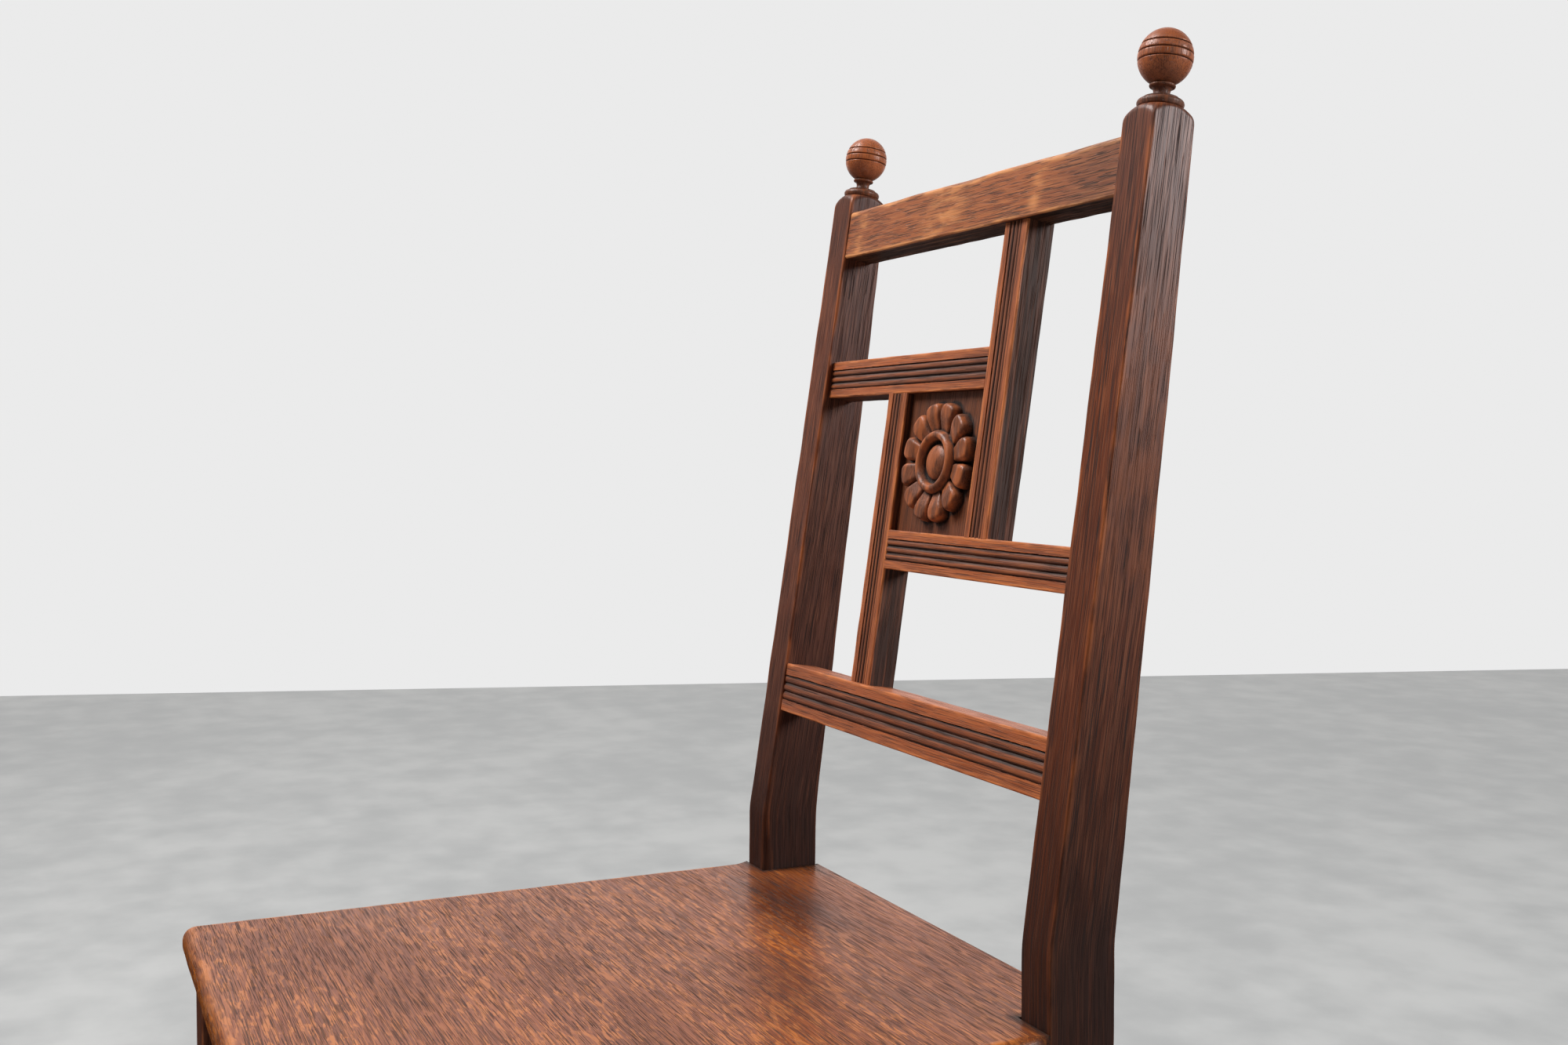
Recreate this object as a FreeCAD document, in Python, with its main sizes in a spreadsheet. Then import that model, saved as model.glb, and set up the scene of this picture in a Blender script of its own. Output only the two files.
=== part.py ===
"""An oak side chair: raked open back with a carved panel, board seat, turned front legs.

Frame: origin on the floor under the middle of the chair, +X to the right seen from the
front, +Y to the back, +Z up. Sizes are millimetres and degrees.
"""
import FreeCAD, Part
import collections
import math
import os

import Sketcher

# Driving sizes, each one cell of the sheet
SIZES = {
    # seat board
    "seat_height": 450.0,
    "seat_thickness": 21.0,
    "seat_front_width": 434.0,
    "seat_front_reach": 423.25,
    "seat_back_reach": 46.5,
    "seat_corner_radius": 12.0,
    "seat_edge_round": 8.0,
    # back posts, which are the rear legs below the seat
    "post_inset": 17.0,
    "post_width": 28.3,
    "post_depth": 45.2,
    "post_top_depth": 30.5,
    "post_rise": 524.8,
    "post_lean": 0.86,
    "back_rake": 8.31,
    "bend_height": 44.0,
    "bend_radius": 90.0,
    "knee_drop": 95.0,
    "foot_sweep": 77.0,
    "foot_depth": 32.0,
    "dome_radius": 28.5,
    # rails and muntins of the back, measured along the slope above the bend
    "top_rail_drop": 49.9,
    "top_rail_height": 36.3,
    "top_rail_round": 3.0,
    "panel_height": 97.6,
    "panel_lift": 1.05,
    "reeded_rail_height": 27.8,
    "bottom_rail_low": 81.6,
    "bottom_rail_height": 36.7,
    "outer_rail_thickness": 23.6,
    "outer_rail_recess": 1.1,
    "muntin_offset": 61.0,
    "muntin_width": 25.7,
    "inner_thickness": 21.0,
    "inner_recess": 4.6,
    "reed_band": 6.4,
    "bottom_reed_band": 8.6,
    "reed_depth": 1.8,
    # carved panel
    "panel_recess": 6.0,
    "panel_thickness": 8.0,
    "rosette_margin": 6.6,
    "rosette_ring_radius": 18.4,
    "rosette_ring_width": 8.0,
    "rosette_ring_rise": 3.2,
    "rosette_boss_radius": 12.2,
    "rosette_height": 8.8,
    "petal_round": 8.3,
    "petal_sink": 0.4,
    "petal_count": 12,
    # finials
    "ball_radius": 16.14,
    "ball_height": 31.0,
    "finial_disc_radius": 13.5,
    "finial_disc_height": 5.2,
    "finial_step_radius": 10.2,
    "finial_step_height": 1.4,
    "finial_neck_radius": 4.9,
    "finial_cove_height": 6.2,
    "finial_collar_radius": 7.7,
    "finial_collar_height": 3.7,
    "ring_spacing": 4.8,
    "ring_lift": 1.3,
    "ring_width": 1.0,
    "ring_cut": 0.8,
    "spigot_radius": 5.0,
    "spigot_length": 15.0,
    # front legs
    "leg_width": 38.0,
    "leg_inset": 12.0,
    "leg_top_block": 88.0,
    "leg_low_block": 64.0,
    "leg_low_block_base": 106.0,
    "turned_collar_radius": 17.0,
    "turned_collar_height": 7.0,
    "turned_cove_height": 10.0,
    "turned_neck_radius": 11.0,
    "turned_ring_radius": 15.5,
    "turned_ring_height": 5.0,
    "turned_shaft_top": 14.0,
    "turned_shaft_low": 12.0,
    "turned_foot_radius": 11.0,
    "turned_swell": 1.2,
    # seat rails and stretchers
    "seat_rail_height": 62.0,
    "seat_rail_thickness": 22.0,
    "stretcher_height": 30.0,
    "stretcher_thickness": 17.0,
    "side_stretcher_base": 122.0,
    "back_stretcher_base": 205.0,
    "cross_stretcher_setback": 168.0,
    # joints and fixings
    "tenon_thickness": 8.0,
    "tenon_shoulder": 4.5,
    "mortise_floor": 9.0,
    "inner_tenon": 12.0,
    "tenon_clear": 1.2,
    "glue_gap": 0.15,
    "seat_gap": 0.25,
    "block_clear": 4.0,
    "block_width": 28.0,
    "block_height": 36.0,
    "screw_radius": 2.0,
    "screw_head_radius": 4.0,
    "screw_head_height": 2.6,
    "screw_bite": 12.0,
    # extra length left on blanks and cutters, sawn off or run past the wood
    "trim": 15.0,
}

SHEET = "Sizes"
SIDES = {"left": -1, "right": 1}
REEDS = 3

# How far turned beads stand proud and coves sink in, as shares of their height
BEAD_SWELL = 0.4
NECK_COVE = 0.25
LEG_COVE = 0.2


class Size:
    """A length or angle as a number, with the sheet formula that gives it."""

    def __init__(self, value, formula):
        self.value = float(value)
        self.formula = formula

    def __add__(self, other):
        other = as_size(other)
        if self.formula == "0":
            return other
        if other.formula == "0":
            return self
        return Size(self.value + other.value, f"({self.formula} + {other.formula})")

    def __sub__(self, other):
        other = as_size(other)
        if other.formula == "0":
            return self
        return Size(self.value - other.value, f"({self.formula} - {other.formula})")

    def __mul__(self, other):
        other = as_size(other)
        if "0" in (self.formula, other.formula):
            return as_size(0)
        if self.formula == "1":
            return other
        if other.formula == "1":
            return self
        return Size(self.value * other.value, f"{self.formula} * {other.formula}")

    def __truediv__(self, other):
        other = as_size(other)
        return Size(self.value / other.value, f"({self.formula}) / ({other.formula})")

    def __neg__(self):
        return self * -1

    def __rsub__(self, other):
        return as_size(other) - self

    __radd__ = __add__
    __rmul__ = __mul__


def as_size(number):
    """A plain number as a Size; a Size comes back as it is."""
    if isinstance(number, Size):
        return number
    return Size(number, f"({number})" if number < 0 else str(number))


def cos(angle):
    """Cosine of an angle in degrees."""
    if angle.formula == "0":
        return as_size(1)
    return Size(math.cos(math.radians(angle.value)), f"cos({angle.formula})")


def sin(angle):
    """Sine of an angle in degrees."""
    if angle.formula == "0":
        return as_size(0)
    return Size(math.sin(math.radians(angle.value)), f"sin({angle.formula})")


def tan(angle):
    """Tangent of an angle in degrees."""
    return Size(math.tan(math.radians(angle.value)), f"tan({angle.formula})")


def angle_of(slope):
    """The angle in degrees whose tangent is the slope."""
    return Size(math.degrees(math.atan(slope.value)), f"atan({slope.formula})")


def root(size):
    """Square root."""
    return Size(math.sqrt(size.value), f"sqrt({size.formula})")


def least(one, other):
    """The smaller of two sizes."""
    return Size(min(one.value, other.value), f"min({one.formula}; {other.formula})")


class Book:
    """The driving sizes by name, each bound to its cell of the sheet."""

    def __init__(self, document):
        sheet = document.addObject("Spreadsheet::Sheet", SHEET)
        for row, (name, value) in enumerate(SIZES.items(), start=1):
            sheet.set(f"A{row}", name)
            sheet.set(f"B{row}", str(value))
            sheet.setAlias(f"B{row}", name)
            setattr(self, name, Size(value, f"{SHEET}.{name}"))


doc = FreeCAD.newDocument("SideChair")
d = Book(doc)
doc.recompute()


def bind(thing, path, size):
    """Ties one property of an object to its sheet formula."""
    thing.setExpression(path, as_size(size).formula)


class Frame:
    """Axes that stand at a point, turned by roll about X and then by pitch about Y."""

    def __init__(self, x, y, z, roll=0, pitch=0):
        self.base = [as_size(value) for value in (x, y, z)]
        self.roll = as_size(roll)
        self.pitch = as_size(pitch)

    def at(self, x, y, z):
        """The chair coordinates of a point given along these axes."""
        x, y, z = as_size(x), as_size(y), as_size(z)
        across = y * cos(self.roll) - z * sin(self.roll)
        up = y * sin(self.roll) + z * cos(self.roll)
        sideways = x * cos(self.pitch) + up * sin(self.pitch)
        up = up * cos(self.pitch) - x * sin(self.pitch)
        return self.base[0] + sideways, self.base[1] + across, self.base[2] + up

    def place(self, thing, x=0, y=0, z=0):
        """Stands an object's own origin at a point of this frame, turned with it."""
        for axis, value in zip("xyz", self.at(x, y, z)):
            bind(thing, f"Placement.Base.{axis}", value)
        bind(thing, "Placement.Rotation.Pitch", self.pitch)
        bind(thing, "Placement.Rotation.Roll", self.roll)
        return thing


def box(frame, name, low, high):
    """A block between two corners given along a frame's axes."""
    block = doc.addObject("Part::Box", name)
    for side, start, end in zip(("Length", "Width", "Height"), low, high):
        bind(block, side, as_size(end) - start)
    return frame.place(block, *low)


def grown(frame, name, low, high, gap):
    """The same block, larger by a gap all round."""
    return box(frame, name, [a - gap for a in low], [b + gap for b in high])


def plane_of(body, role):
    """One of the body's own origin planes or axes."""
    return next(item for item in body.Origin.OriginFeatures if item.Role == role)


def draw(body, role, name, outline):
    """A closed sketch in an origin plane of the body, drawn anticlockwise.

    Each stop is (across, up) or (across, up, rise), where rise makes the run to the next
    stop an arc that stands that far off its chord, outwards when positive.
    """
    sketch = body.newObject("Sketcher::SketchObject", name)
    sketch.AttachmentSupport = [(plane_of(body, role), "")]
    sketch.MapMode = "FlatFace"
    stops = [[as_size(value) for value in stop] for stop in outline]
    ends = []
    for start, end in zip(stops, stops[1:] + stops[:1]):
        ends.append(draw_run(sketch, start, end))
    for (last, after) in zip(ends, ends[1:] + ends[:1]):
        sketch.addConstraint(Sketcher.Constraint("Coincident", last[0], last[2], after[0], after[1]))
    for stop, (index, first, _) in zip(stops, ends):
        pin_point(sketch, index, first, stop)
    return sketch


def draw_run(sketch, start, end):
    """One straight or round run of an outline; gives its number and its two end marks."""
    here = FreeCAD.Vector(start[0].value, start[1].value, 0)
    there = FreeCAD.Vector(end[0].value, end[1].value, 0)
    if len(start) == 2:
        return sketch.addGeometry(Part.LineSegment(here, there), False), 1, 2
    rise = start[2]
    way = (there - here).normalize()
    middle = (here + there) / 2 + FreeCAD.Vector(way.y, -way.x, 0) * rise.value
    index = sketch.addGeometry(Part.Arc(here, middle, there), False)
    width, height = end[0] - start[0], end[1] - start[1]
    half_chord_squared = (width * width + height * height) / 4
    bend = (half_chord_squared + rise * rise) / (rise * math.copysign(2, rise.value))
    radius = sketch.addConstraint(Sketcher.Constraint("Radius", index, bend.value))
    bind(sketch, f"Constraints[{radius}]", bend)
    if sketch.getPoint(index, 1).distanceToPoint(here) < sketch.getPoint(index, 2).distanceToPoint(here):
        return index, 1, 2
    return index, 2, 1


def pin_point(sketch, index, mark, stop):
    """Ties one corner of a sketch to its two sheet formulas."""
    for kind, axis, size in (("DistanceX", -2, stop[0]), ("DistanceY", -1, stop[1])):
        if size.formula == "0":
            sketch.addConstraint(Sketcher.Constraint("PointOnObject", index, mark, axis))
            continue
        number = sketch.addConstraint(Sketcher.Constraint(kind, -1, 1, index, mark, size.value))
        bind(sketch, f"Constraints[{number}]", size)


def padded(name, role, outline, length, symmetric=False):
    """A body that carries an outline straight along for a length."""
    body = doc.addObject("PartDesign::Body", name)
    pad = body.newObject("PartDesign::Pad", f"{name}_pad")
    pad.Profile = draw(body, role, f"{name}_outline", outline)
    if symmetric:
        pad.SideType = "Symmetric"
    bind(pad, "Length", length)
    doc.recompute()
    return body


def turned(name, outline):
    """A body turned about its own Z axis from (radius, height) stops."""
    body = doc.addObject("PartDesign::Body", name)
    profile = draw(body, "XZ_Plane", f"{name}_profile", outline)
    spin = body.newObject("PartDesign::Revolution", f"{name}_turning")
    spin.Profile = profile
    spin.ReferenceAxis = (profile, ["V_Axis"])
    spin.Angle = 360
    doc.recompute()
    return body


def rounded(body, wanted, radius):
    """Rounds the edges of the body's last feature that a test picks."""
    last = body.Tip
    edges = [f"Edge{i}" for i, edge in enumerate(last.Shape.Edges, start=1) if wanted(edge)]
    fillet = body.newObject("PartDesign::Fillet", f"{last.Name}_round")
    fillet.Base = (last, edges)
    bind(fillet, "Radius", radius)
    doc.recompute()
    return body


def combine(kind, name, first, others):
    """Several solids fused, or one solid with others cut from it or kept in common."""
    if kind == "Fuse":
        made = doc.addObject("Part::MultiFuse", name)
        made.Shapes = [first] + list(others)
        return made
    tool = others[0]
    if len(others) > 1:
        tool = combine("Fuse", f"{name}_tools", others[0], others[1:])
    made = doc.addObject(f"Part::{kind}", name)
    made.Base = first
    made.Tool = tool
    return made


# Stock of every sub-part by its label, with the tenons it gains and the cuts it takes
stock = {}
tenons = collections.defaultdict(list)
mortises = collections.defaultdict(list)


# Lines that several pieces share
post_front = (d.seat_front_reach - d.foot_sweep - d.foot_depth) / 2
floor = Frame(0, post_front, 0)
back = Frame(0, post_front, d.seat_height + d.bend_height, roll=-d.back_rake)
seat_under = d.seat_height - d.seat_thickness
post_spread = d.seat_front_width - d.post_inset * 2
post_half = d.post_width / cos(d.post_lean) / 2
post_middle = post_spread / 2 - post_half
post_top_front = tan(d.back_rake) * (d.post_rise - d.bend_height)
post_back_slope = (post_top_front + d.post_top_depth - d.post_depth) / (d.post_rise - d.bend_height)
post_tilt = angle_of((tan(d.back_rake) + post_back_slope) / 2)
muntin_inside = d.muntin_offset - d.muntin_width / 2
muntin_outside = d.muntin_offset + d.muntin_width / 2
back_slope = (d.post_rise - d.bend_height) / cos(d.back_rake)
top_rail_low = back_slope - d.top_rail_drop
bottom_rail_top = d.bottom_rail_low + d.bottom_rail_height
inner_height = d.panel_height + d.reeded_rail_height * 2
lower_rail_low = (bottom_rail_top + top_rail_low - inner_height) / 2 + d.panel_lift
lower_rail_top = lower_rail_low + d.reeded_rail_height
upper_rail_low = lower_rail_top + d.panel_height
leg_middle = d.seat_front_width / 2 - d.leg_inset - d.leg_width / 2
leg_front = d.leg_inset - d.seat_front_reach
leg_back = leg_front + d.leg_width
leg_tenon = (d.leg_width - d.tenon_thickness) / 2 - d.tenon_clear
side_tenon = (d.post_depth - d.tenon_thickness) / 2 - d.tenon_clear


def post_centre(height):
    """Distance of a post's middle from the chair's middle at a height above the floor."""
    return post_middle + tan(d.post_lean) * (d.seat_height - height)


def post_inside(height):
    """Distance of a post's inner face from the chair's middle at a height above the floor."""
    return post_centre(height) - post_half


def rear_leg_front(height):
    """How far the splayed rear leg's front has swept back at a height above the floor."""
    return d.foot_sweep * (d.seat_height - d.knee_drop - height) / (d.seat_height - d.knee_drop)


def post_frame(side):
    """Axes of one leaning post, at its middle and its front face, level with the seat."""
    return Frame(post_middle * side, post_front, d.seat_height, pitch=d.post_lean * -side)


def finial_frame(side):
    """Axes of one finial, on the post's top and tilted with the post."""
    post = post_frame(side)
    x, y, z = post.at(0, post_top_front + d.post_top_depth / 2, d.post_rise)
    return Frame(x, y, z, roll=-post_tilt, pitch=post.pitch)


def between(side, near, far):
    """Low and high x of a span that runs outwards on one side of the chair."""
    return (near, far) if side > 0 else (-far, -near)


def join(giver, taker, frame, low, high):
    """Adds a tenon to one piece and cuts its mortise, with a glue gap, in the other."""
    name = f"{giver}_into_{taker}"
    tenons[giver].append(box(frame, f"{name}_tenon", low, high))
    mortises[taker].append(grown(frame, f"{name}_mortise", low, high, d.glue_gap))


def join_post(giver, side_name, frame, height, across, up):
    """Joins one end of a rail into the inner face of a post.

    height is the joint's middle above the floor; across and up are the low and high ends
    of the tenon in depth and height along the frame's axes.
    """
    face = post_inside(height)
    x_low, x_high = between(SIDES[side_name], face - d.trim, face + d.post_width - d.mortise_floor)
    low, high = (x_low, across[0], up[0]), (x_high, across[1], up[1])
    join(giver, f"back_post_{side_name}", frame, low, high)


def middle_tenon(start, thickness):
    """Low and high depth of a tenon in the middle of a thickness."""
    low = start + (thickness - d.tenon_thickness) / 2
    return low, low + d.tenon_thickness


def shouldered(low, high):
    """Low and high ends of a tenon that leaves a shoulder at each edge."""
    return low + d.tenon_shoulder, high - d.tenon_shoulder


# Stock of the back
def post_blank(label, side):
    """A post from below the floor to above its top, bent at the seat and the knee."""
    top = d.post_rise + d.trim
    low = d.seat_height + d.trim
    knee_share = (low - d.knee_drop) / (d.seat_height - d.knee_drop)
    foot_back = d.post_depth + (d.foot_sweep + d.foot_depth - d.post_depth) * knee_share
    outline = [
        (d.foot_sweep * knee_share, -low),
        (foot_back, -low),
        (d.post_depth, -d.knee_drop),
        (d.post_depth, d.bend_height),
        (d.post_depth + post_back_slope * (top - d.bend_height), top),
        (tan(d.back_rake) * (top - d.bend_height), top),
        (0, d.bend_height),
        (0, -d.knee_drop),
    ]
    body = padded(f"{label}_blank", "YZ_Plane", outline, d.post_width, symmetric=True)
    bends = (d.bend_height.value, -d.knee_drop.value)

    def at_bend(edge):
        middle = edge.CenterOfMass
        return abs(middle.x) < 0.01 and min(abs(middle.z - bend) for bend in bends) < 0.01

    return post_frame(side).place(rounded(body, at_bend, d.bend_radius))


def dome_cutter(label, side):
    """What is taken off a post's top: all that lies outside a flattened sphere."""
    frame = finial_frame(side)
    drop = root(d.dome_radius * d.dome_radius - d.finial_disc_radius * d.finial_disc_radius)
    around = doc.addObject("Part::Cylinder", f"{label}_top_waste")
    bind(around, "Radius", d.post_depth)
    bind(around, "Height", drop + d.trim * 2)
    dome = doc.addObject("Part::Sphere", f"{label}_dome")
    bind(dome, "Radius", d.dome_radius)
    bind(dome, "Angle2", angle_of(drop / d.finial_disc_radius))
    for solid in (around, dome):
        frame.place(solid, 0, 0, -drop)
    return combine("Cut", f"{label}_dome_cutter", around, [dome])


def reeded_face(width, band):
    """Stops across a reeded face as (across, depth): flat bands beside three round reeds."""
    pitch = (width - band * 2) / REEDS
    valleys = [(band + pitch * i, d.reed_depth, d.reed_depth) for i in range(REEDS)]
    return [(0, 0), (band, 0)] + valleys + [(width - band, d.reed_depth), (width - band, 0), (width, 0)]


def reeded_rail_section(height, band, thickness):
    """Section of a reeded rail as (depth, height), reeds to the front."""
    face = [(stop[1], height - stop[0]) + tuple(stop[2:]) for stop in reeded_face(height, band)]
    return [(0, 0), (thickness, 0), (thickness, height)] + face[:-1]


def plain_rail_section(height, thickness, rounding):
    """Section of the top rail, with its two upper edges rounded."""
    bulge = rounding * (1 - math.sqrt(0.5))
    return [
        (0, 0),
        (thickness, 0),
        (thickness, height - rounding, bulge),
        (thickness - rounding, height),
        (rounding, height, bulge),
        (0, height - rounding),
    ]


def inside_of_back():
    """The wedge of space between the two leaning posts, floor to top."""
    top = d.seat_height + d.post_rise + d.trim
    outline = [
        (-post_inside(-d.trim), -d.trim),
        (post_inside(-d.trim), -d.trim),
        (post_inside(top), top),
        (-post_inside(top), top),
    ]
    reach = (d.seat_front_reach + d.seat_back_reach) * 2
    return floor.place(padded("inside_of_back", "XZ_Plane", outline, reach, symmetric=True))


def fitted_rail(label, section, low_x, high_x, frame, depth, up):
    """Stock of a rail between the posts, sawn to their lean where it reaches them."""
    blank = padded(f"{label}_blank", "YZ_Plane", section, high_x - low_x)
    frame.place(blank, low_x, depth, up)
    stock[label] = combine("Common", f"{label}_sawn", blank, [space])


def join_back_rail(label, side_name, low, height, recess, thickness):
    """Joins one end of a raked rail into its post."""
    middle = low + height / 2
    above_floor = d.seat_height + d.bend_height + middle * cos(d.back_rake)
    across = middle_tenon(recess, thickness)
    join_post(label, side_name, back, above_floor, across, shouldered(low, low + height))


def outer_rails():
    """The plain top rail and the reeded bottom rail, post to post."""
    reach = post_spread / 2
    thickness = d.outer_rail_thickness
    sections = {
        "top_rail": (plain_rail_section(d.top_rail_height, thickness, d.top_rail_round),
                     top_rail_low, d.top_rail_height),
        "bottom_reeded_rail": (reeded_rail_section(d.bottom_rail_height, d.bottom_reed_band, thickness),
                               d.bottom_rail_low, d.bottom_rail_height),
    }
    for label, (section, low, height) in sections.items():
        fitted_rail(label, section, -reach, reach, back, d.outer_rail_recess, low)
        for side_name in SIDES:
            join_back_rail(label, side_name, low, height, d.outer_rail_recess, thickness)


def inner_rails():
    """The two short reeded rails, each from a post to the far muntin's near side."""
    section = reeded_rail_section(d.reeded_rail_height, d.reed_band, d.inner_thickness)
    places = {
        "upper_reeded_rail": ("left", "upper_muntin", upper_rail_low),
        "lower_reeded_rail": ("right", "lower_muntin", lower_rail_low),
    }
    across = middle_tenon(d.inner_recess, d.inner_thickness)
    for label, (side_name, muntin, low) in places.items():
        side = SIDES[side_name]
        ends = between(side, -muntin_inside, post_spread / 2)
        fitted_rail(label, section, *ends, back, d.inner_recess, low)
        join_back_rail(label, side_name, low, d.reeded_rail_height, d.inner_recess, d.inner_thickness)
        up = shouldered(low, low + d.reeded_rail_height)
        x_low, x_high = between(-side, muntin_inside - d.trim, muntin_inside + d.inner_tenon)
        join(label, muntin, back, (x_low, across[0], up[0]), (x_high, across[1], up[1]))


def muntins():
    """The two reeded muntins: upper one on the right, lower one on the left."""
    places = {
        "upper_muntin": (1, lower_rail_top, top_rail_low, "lower_reeded_rail", "top_rail"),
        "lower_muntin": (-1, bottom_rail_top, upper_rail_low, "bottom_reeded_rail", "upper_reeded_rail"),
    }
    section = reeded_face(d.muntin_width, d.reed_band)
    section += [(d.muntin_width, d.inner_thickness), (0, d.inner_thickness)]
    across = middle_tenon(d.inner_recess, d.inner_thickness)
    for label, (side, low, high, below, above) in places.items():
        blank = padded(f"{label}_blank", "XY_Plane", section, high - low)
        x_low, x_high = between(side, muntin_inside, muntin_outside)
        stock[label] = back.place(blank, x_low, d.inner_recess, low)
        x_low, x_high = shouldered(x_low, x_high)
        for taker, start, end in ((below, low - d.inner_tenon, low + d.trim),
                                  (above, high - d.trim, high + d.inner_tenon)):
            join(label, taker, back, (x_low, across[0], start), (x_high, across[1], end))


# Carved panel
def panel_corners():
    """Low and high corners of the panel with its tongues, along the back's axes."""
    tongue = d.tenon_shoulder - d.tenon_clear
    front = d.inner_recess + d.panel_recess
    low = (-muntin_inside - tongue, front, lower_rail_top - tongue)
    high = (muntin_inside + tongue, front + d.panel_thickness, upper_rail_low + tongue)
    return low, high


def dome_rise(radius, height):
    """How far the curve of a dome, from its rim to its top, stands off its own chord."""
    curve = (radius * radius + height * height) / (height * 2)
    return curve - root(curve * curve - (radius * radius + height * height) / 4)


def rosette():
    """Twelve domed petals round a ring and a boss, raised from the panel's face."""
    reach = least(muntin_inside, d.panel_height / 2) - d.rosette_margin
    half_ring = d.rosette_ring_width / 2
    sunk = d.panel_thickness / 2
    valley = d.rosette_height - d.rosette_ring_rise
    ring_low = d.rosette_ring_radius - half_ring
    body = turned("rosette", [
        (0, -sunk),
        (d.rosette_ring_radius + half_ring, -sunk),
        (d.rosette_ring_radius + half_ring, valley, d.rosette_ring_rise),
        (ring_low, valley),
        (d.rosette_boss_radius, valley, dome_rise(d.rosette_boss_radius, d.rosette_ring_rise)),
        (0, d.rosette_height),
    ])
    petal_middle = reach - d.petal_round
    profile = draw(body, "XY_Plane", "petal_profile", [
        (0, d.rosette_ring_radius),
        (d.petal_round / 2, d.rosette_ring_radius),
        (d.petal_round, petal_middle, d.petal_round * (1 - math.sqrt(0.5))),
        (0, reach),
    ])
    bind(profile, "AttachmentOffset.Base.z", -d.petal_sink)
    bind(profile, "AttachmentOffset.Rotation.Angle", as_size(180) / d.petal_count)
    petal = body.newObject("PartDesign::Revolution", "petal")
    petal.Profile = profile
    petal.ReferenceAxis = (profile, ["V_Axis"])
    petal.Angle = 360
    doc.recompute()
    ring = body.newObject("PartDesign::PolarPattern", "petals")
    ring.Originals = [petal]
    ring.Axis = (plane_of(body, "Z_Axis"), [""])
    ring.Angle = 360
    bind(ring, "Occurrences", d.petal_count)
    body.Tip = ring
    face = Frame(0, 0, 0)
    face.base = back.at(0, d.inner_recess + d.panel_recess, (lower_rail_top + upper_rail_low) / 2)
    face.roll = 90 - d.back_rake
    face.place(body)
    low, high = panel_corners()
    front = box(back, "rosette_limit", (low[0], d.inner_recess - d.trim, low[2]),
                (high[0], low[1] + sunk, high[2]))
    return combine("Common", "rosette_relief", body, [front])


def rosette_panel():
    """The carved panel, let into grooves all round."""
    low, high = panel_corners()
    stock["rosette_panel"] = box(back, "panel_board", low, high)
    tenons["rosette_panel"].append(rosette())
    for label in ("upper_muntin", "lower_muntin", "upper_reeded_rail", "lower_reeded_rail"):
        mortises[label].append(grown(back, f"{label}_panel_groove", low, high, d.glue_gap))


# Posts, finials and front legs
def bead(radius, low, high):
    """A round edge between two heights, swelling to a radius."""
    bulge = (high - low) * BEAD_SWELL
    return [(radius - bulge, low, bulge), (radius - bulge, high)]


def cove(radius, low, high, share):
    """A hollow between two heights, sunk to a radius by a share of its height."""
    depth = (high - low) * share
    return [(radius + depth, low, -depth), (radius + depth, high)]


def finial_outline():
    """Profile of a finial, upwards from its spigot: disc, step, neck, collar and ringed ball."""
    step_low = d.finial_disc_height
    cove_low = step_low + d.finial_step_height
    collar_low = cove_low + d.finial_cove_height
    collar_high = collar_low + d.finial_collar_height
    outline = [(0, -d.spigot_length), (d.spigot_radius, -d.spigot_length), (d.spigot_radius, 0)]
    outline += bead(d.finial_disc_radius, as_size(0), step_low)
    outline += [(d.finial_step_radius, step_low), (d.finial_step_radius, cove_low)]
    outline += cove(d.finial_neck_radius, cove_low, collar_low, NECK_COVE)
    outline += bead(d.finial_collar_radius, collar_low, collar_high)
    lows = [collar_high - d.ball_height]
    for ring in (-1, 0, 1):
        lows.append(d.ring_spacing * ring + d.ring_lift)
    for start, end in zip(lows, lows[1:] + [d.ball_radius]):
        first = start if start is lows[0] else start + d.ring_width / 2
        last = end if end is d.ball_radius else end - d.ring_width / 2
        outline += ball_run(first, last)
        if end is not d.ball_radius:
            outline.append((ball_width(end) - d.ring_cut, d.ball_height + end))
    return outline


def ball_width(height):
    """Radius of the ball's section at a height above its middle."""
    return root(d.ball_radius * d.ball_radius - height * height)


def ball_run(low, high):
    """Stops of one stretch of the ball between two heights above its middle."""
    at_pole = high is d.ball_radius
    low_width = ball_width(low)
    high_width = as_size(0) if at_pole else ball_width(high)
    width, height = low_width - high_width, high - low
    half_chord_squared = (width * width + height * height) / 4
    rise = d.ball_radius - root(d.ball_radius * d.ball_radius - half_chord_squared)
    return [(low_width, d.ball_height + low, rise), (high_width, d.ball_height + high)]


def leg_outline():
    """Profile of the turned length of a front leg, upwards from the floor."""
    base = d.leg_low_block_base
    block_top = base + d.leg_low_block
    top = seat_under - d.leg_top_block
    neck = d.turned_neck_radius
    ring = d.turned_ring_radius
    collar = d.turned_collar_radius
    foot_collar = base - d.turned_collar_height
    foot_ring = foot_collar - d.turned_cove_height
    foot_top = foot_ring - d.turned_ring_height
    low_collar = block_top + d.turned_collar_height
    low_ring = low_collar + d.turned_cove_height
    shaft_low = low_ring + d.turned_ring_height
    high_collar = top - d.turned_collar_height
    high_ring = high_collar - d.turned_cove_height
    shaft_high = high_ring - d.turned_ring_height
    outline = [(0, 0), (d.turned_foot_radius, 0, d.turned_swell), (d.turned_shaft_top, foot_top)]
    outline += bead(ring, foot_top, foot_ring) + cove(neck, foot_ring, foot_collar, LEG_COVE)
    outline += bead(collar, foot_collar, base) + bead(collar, block_top, low_collar)
    outline += cove(neck, low_collar, low_ring, LEG_COVE) + bead(ring, low_ring, shaft_low)
    outline += [(d.turned_shaft_low, shaft_low, d.turned_swell), (d.turned_shaft_top, shaft_high)]
    outline += bead(ring, shaft_high, high_ring) + cove(neck, high_ring, high_collar, LEG_COVE)
    outline += bead(collar, high_collar, top)
    return outline + [(0, top)]


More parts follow.
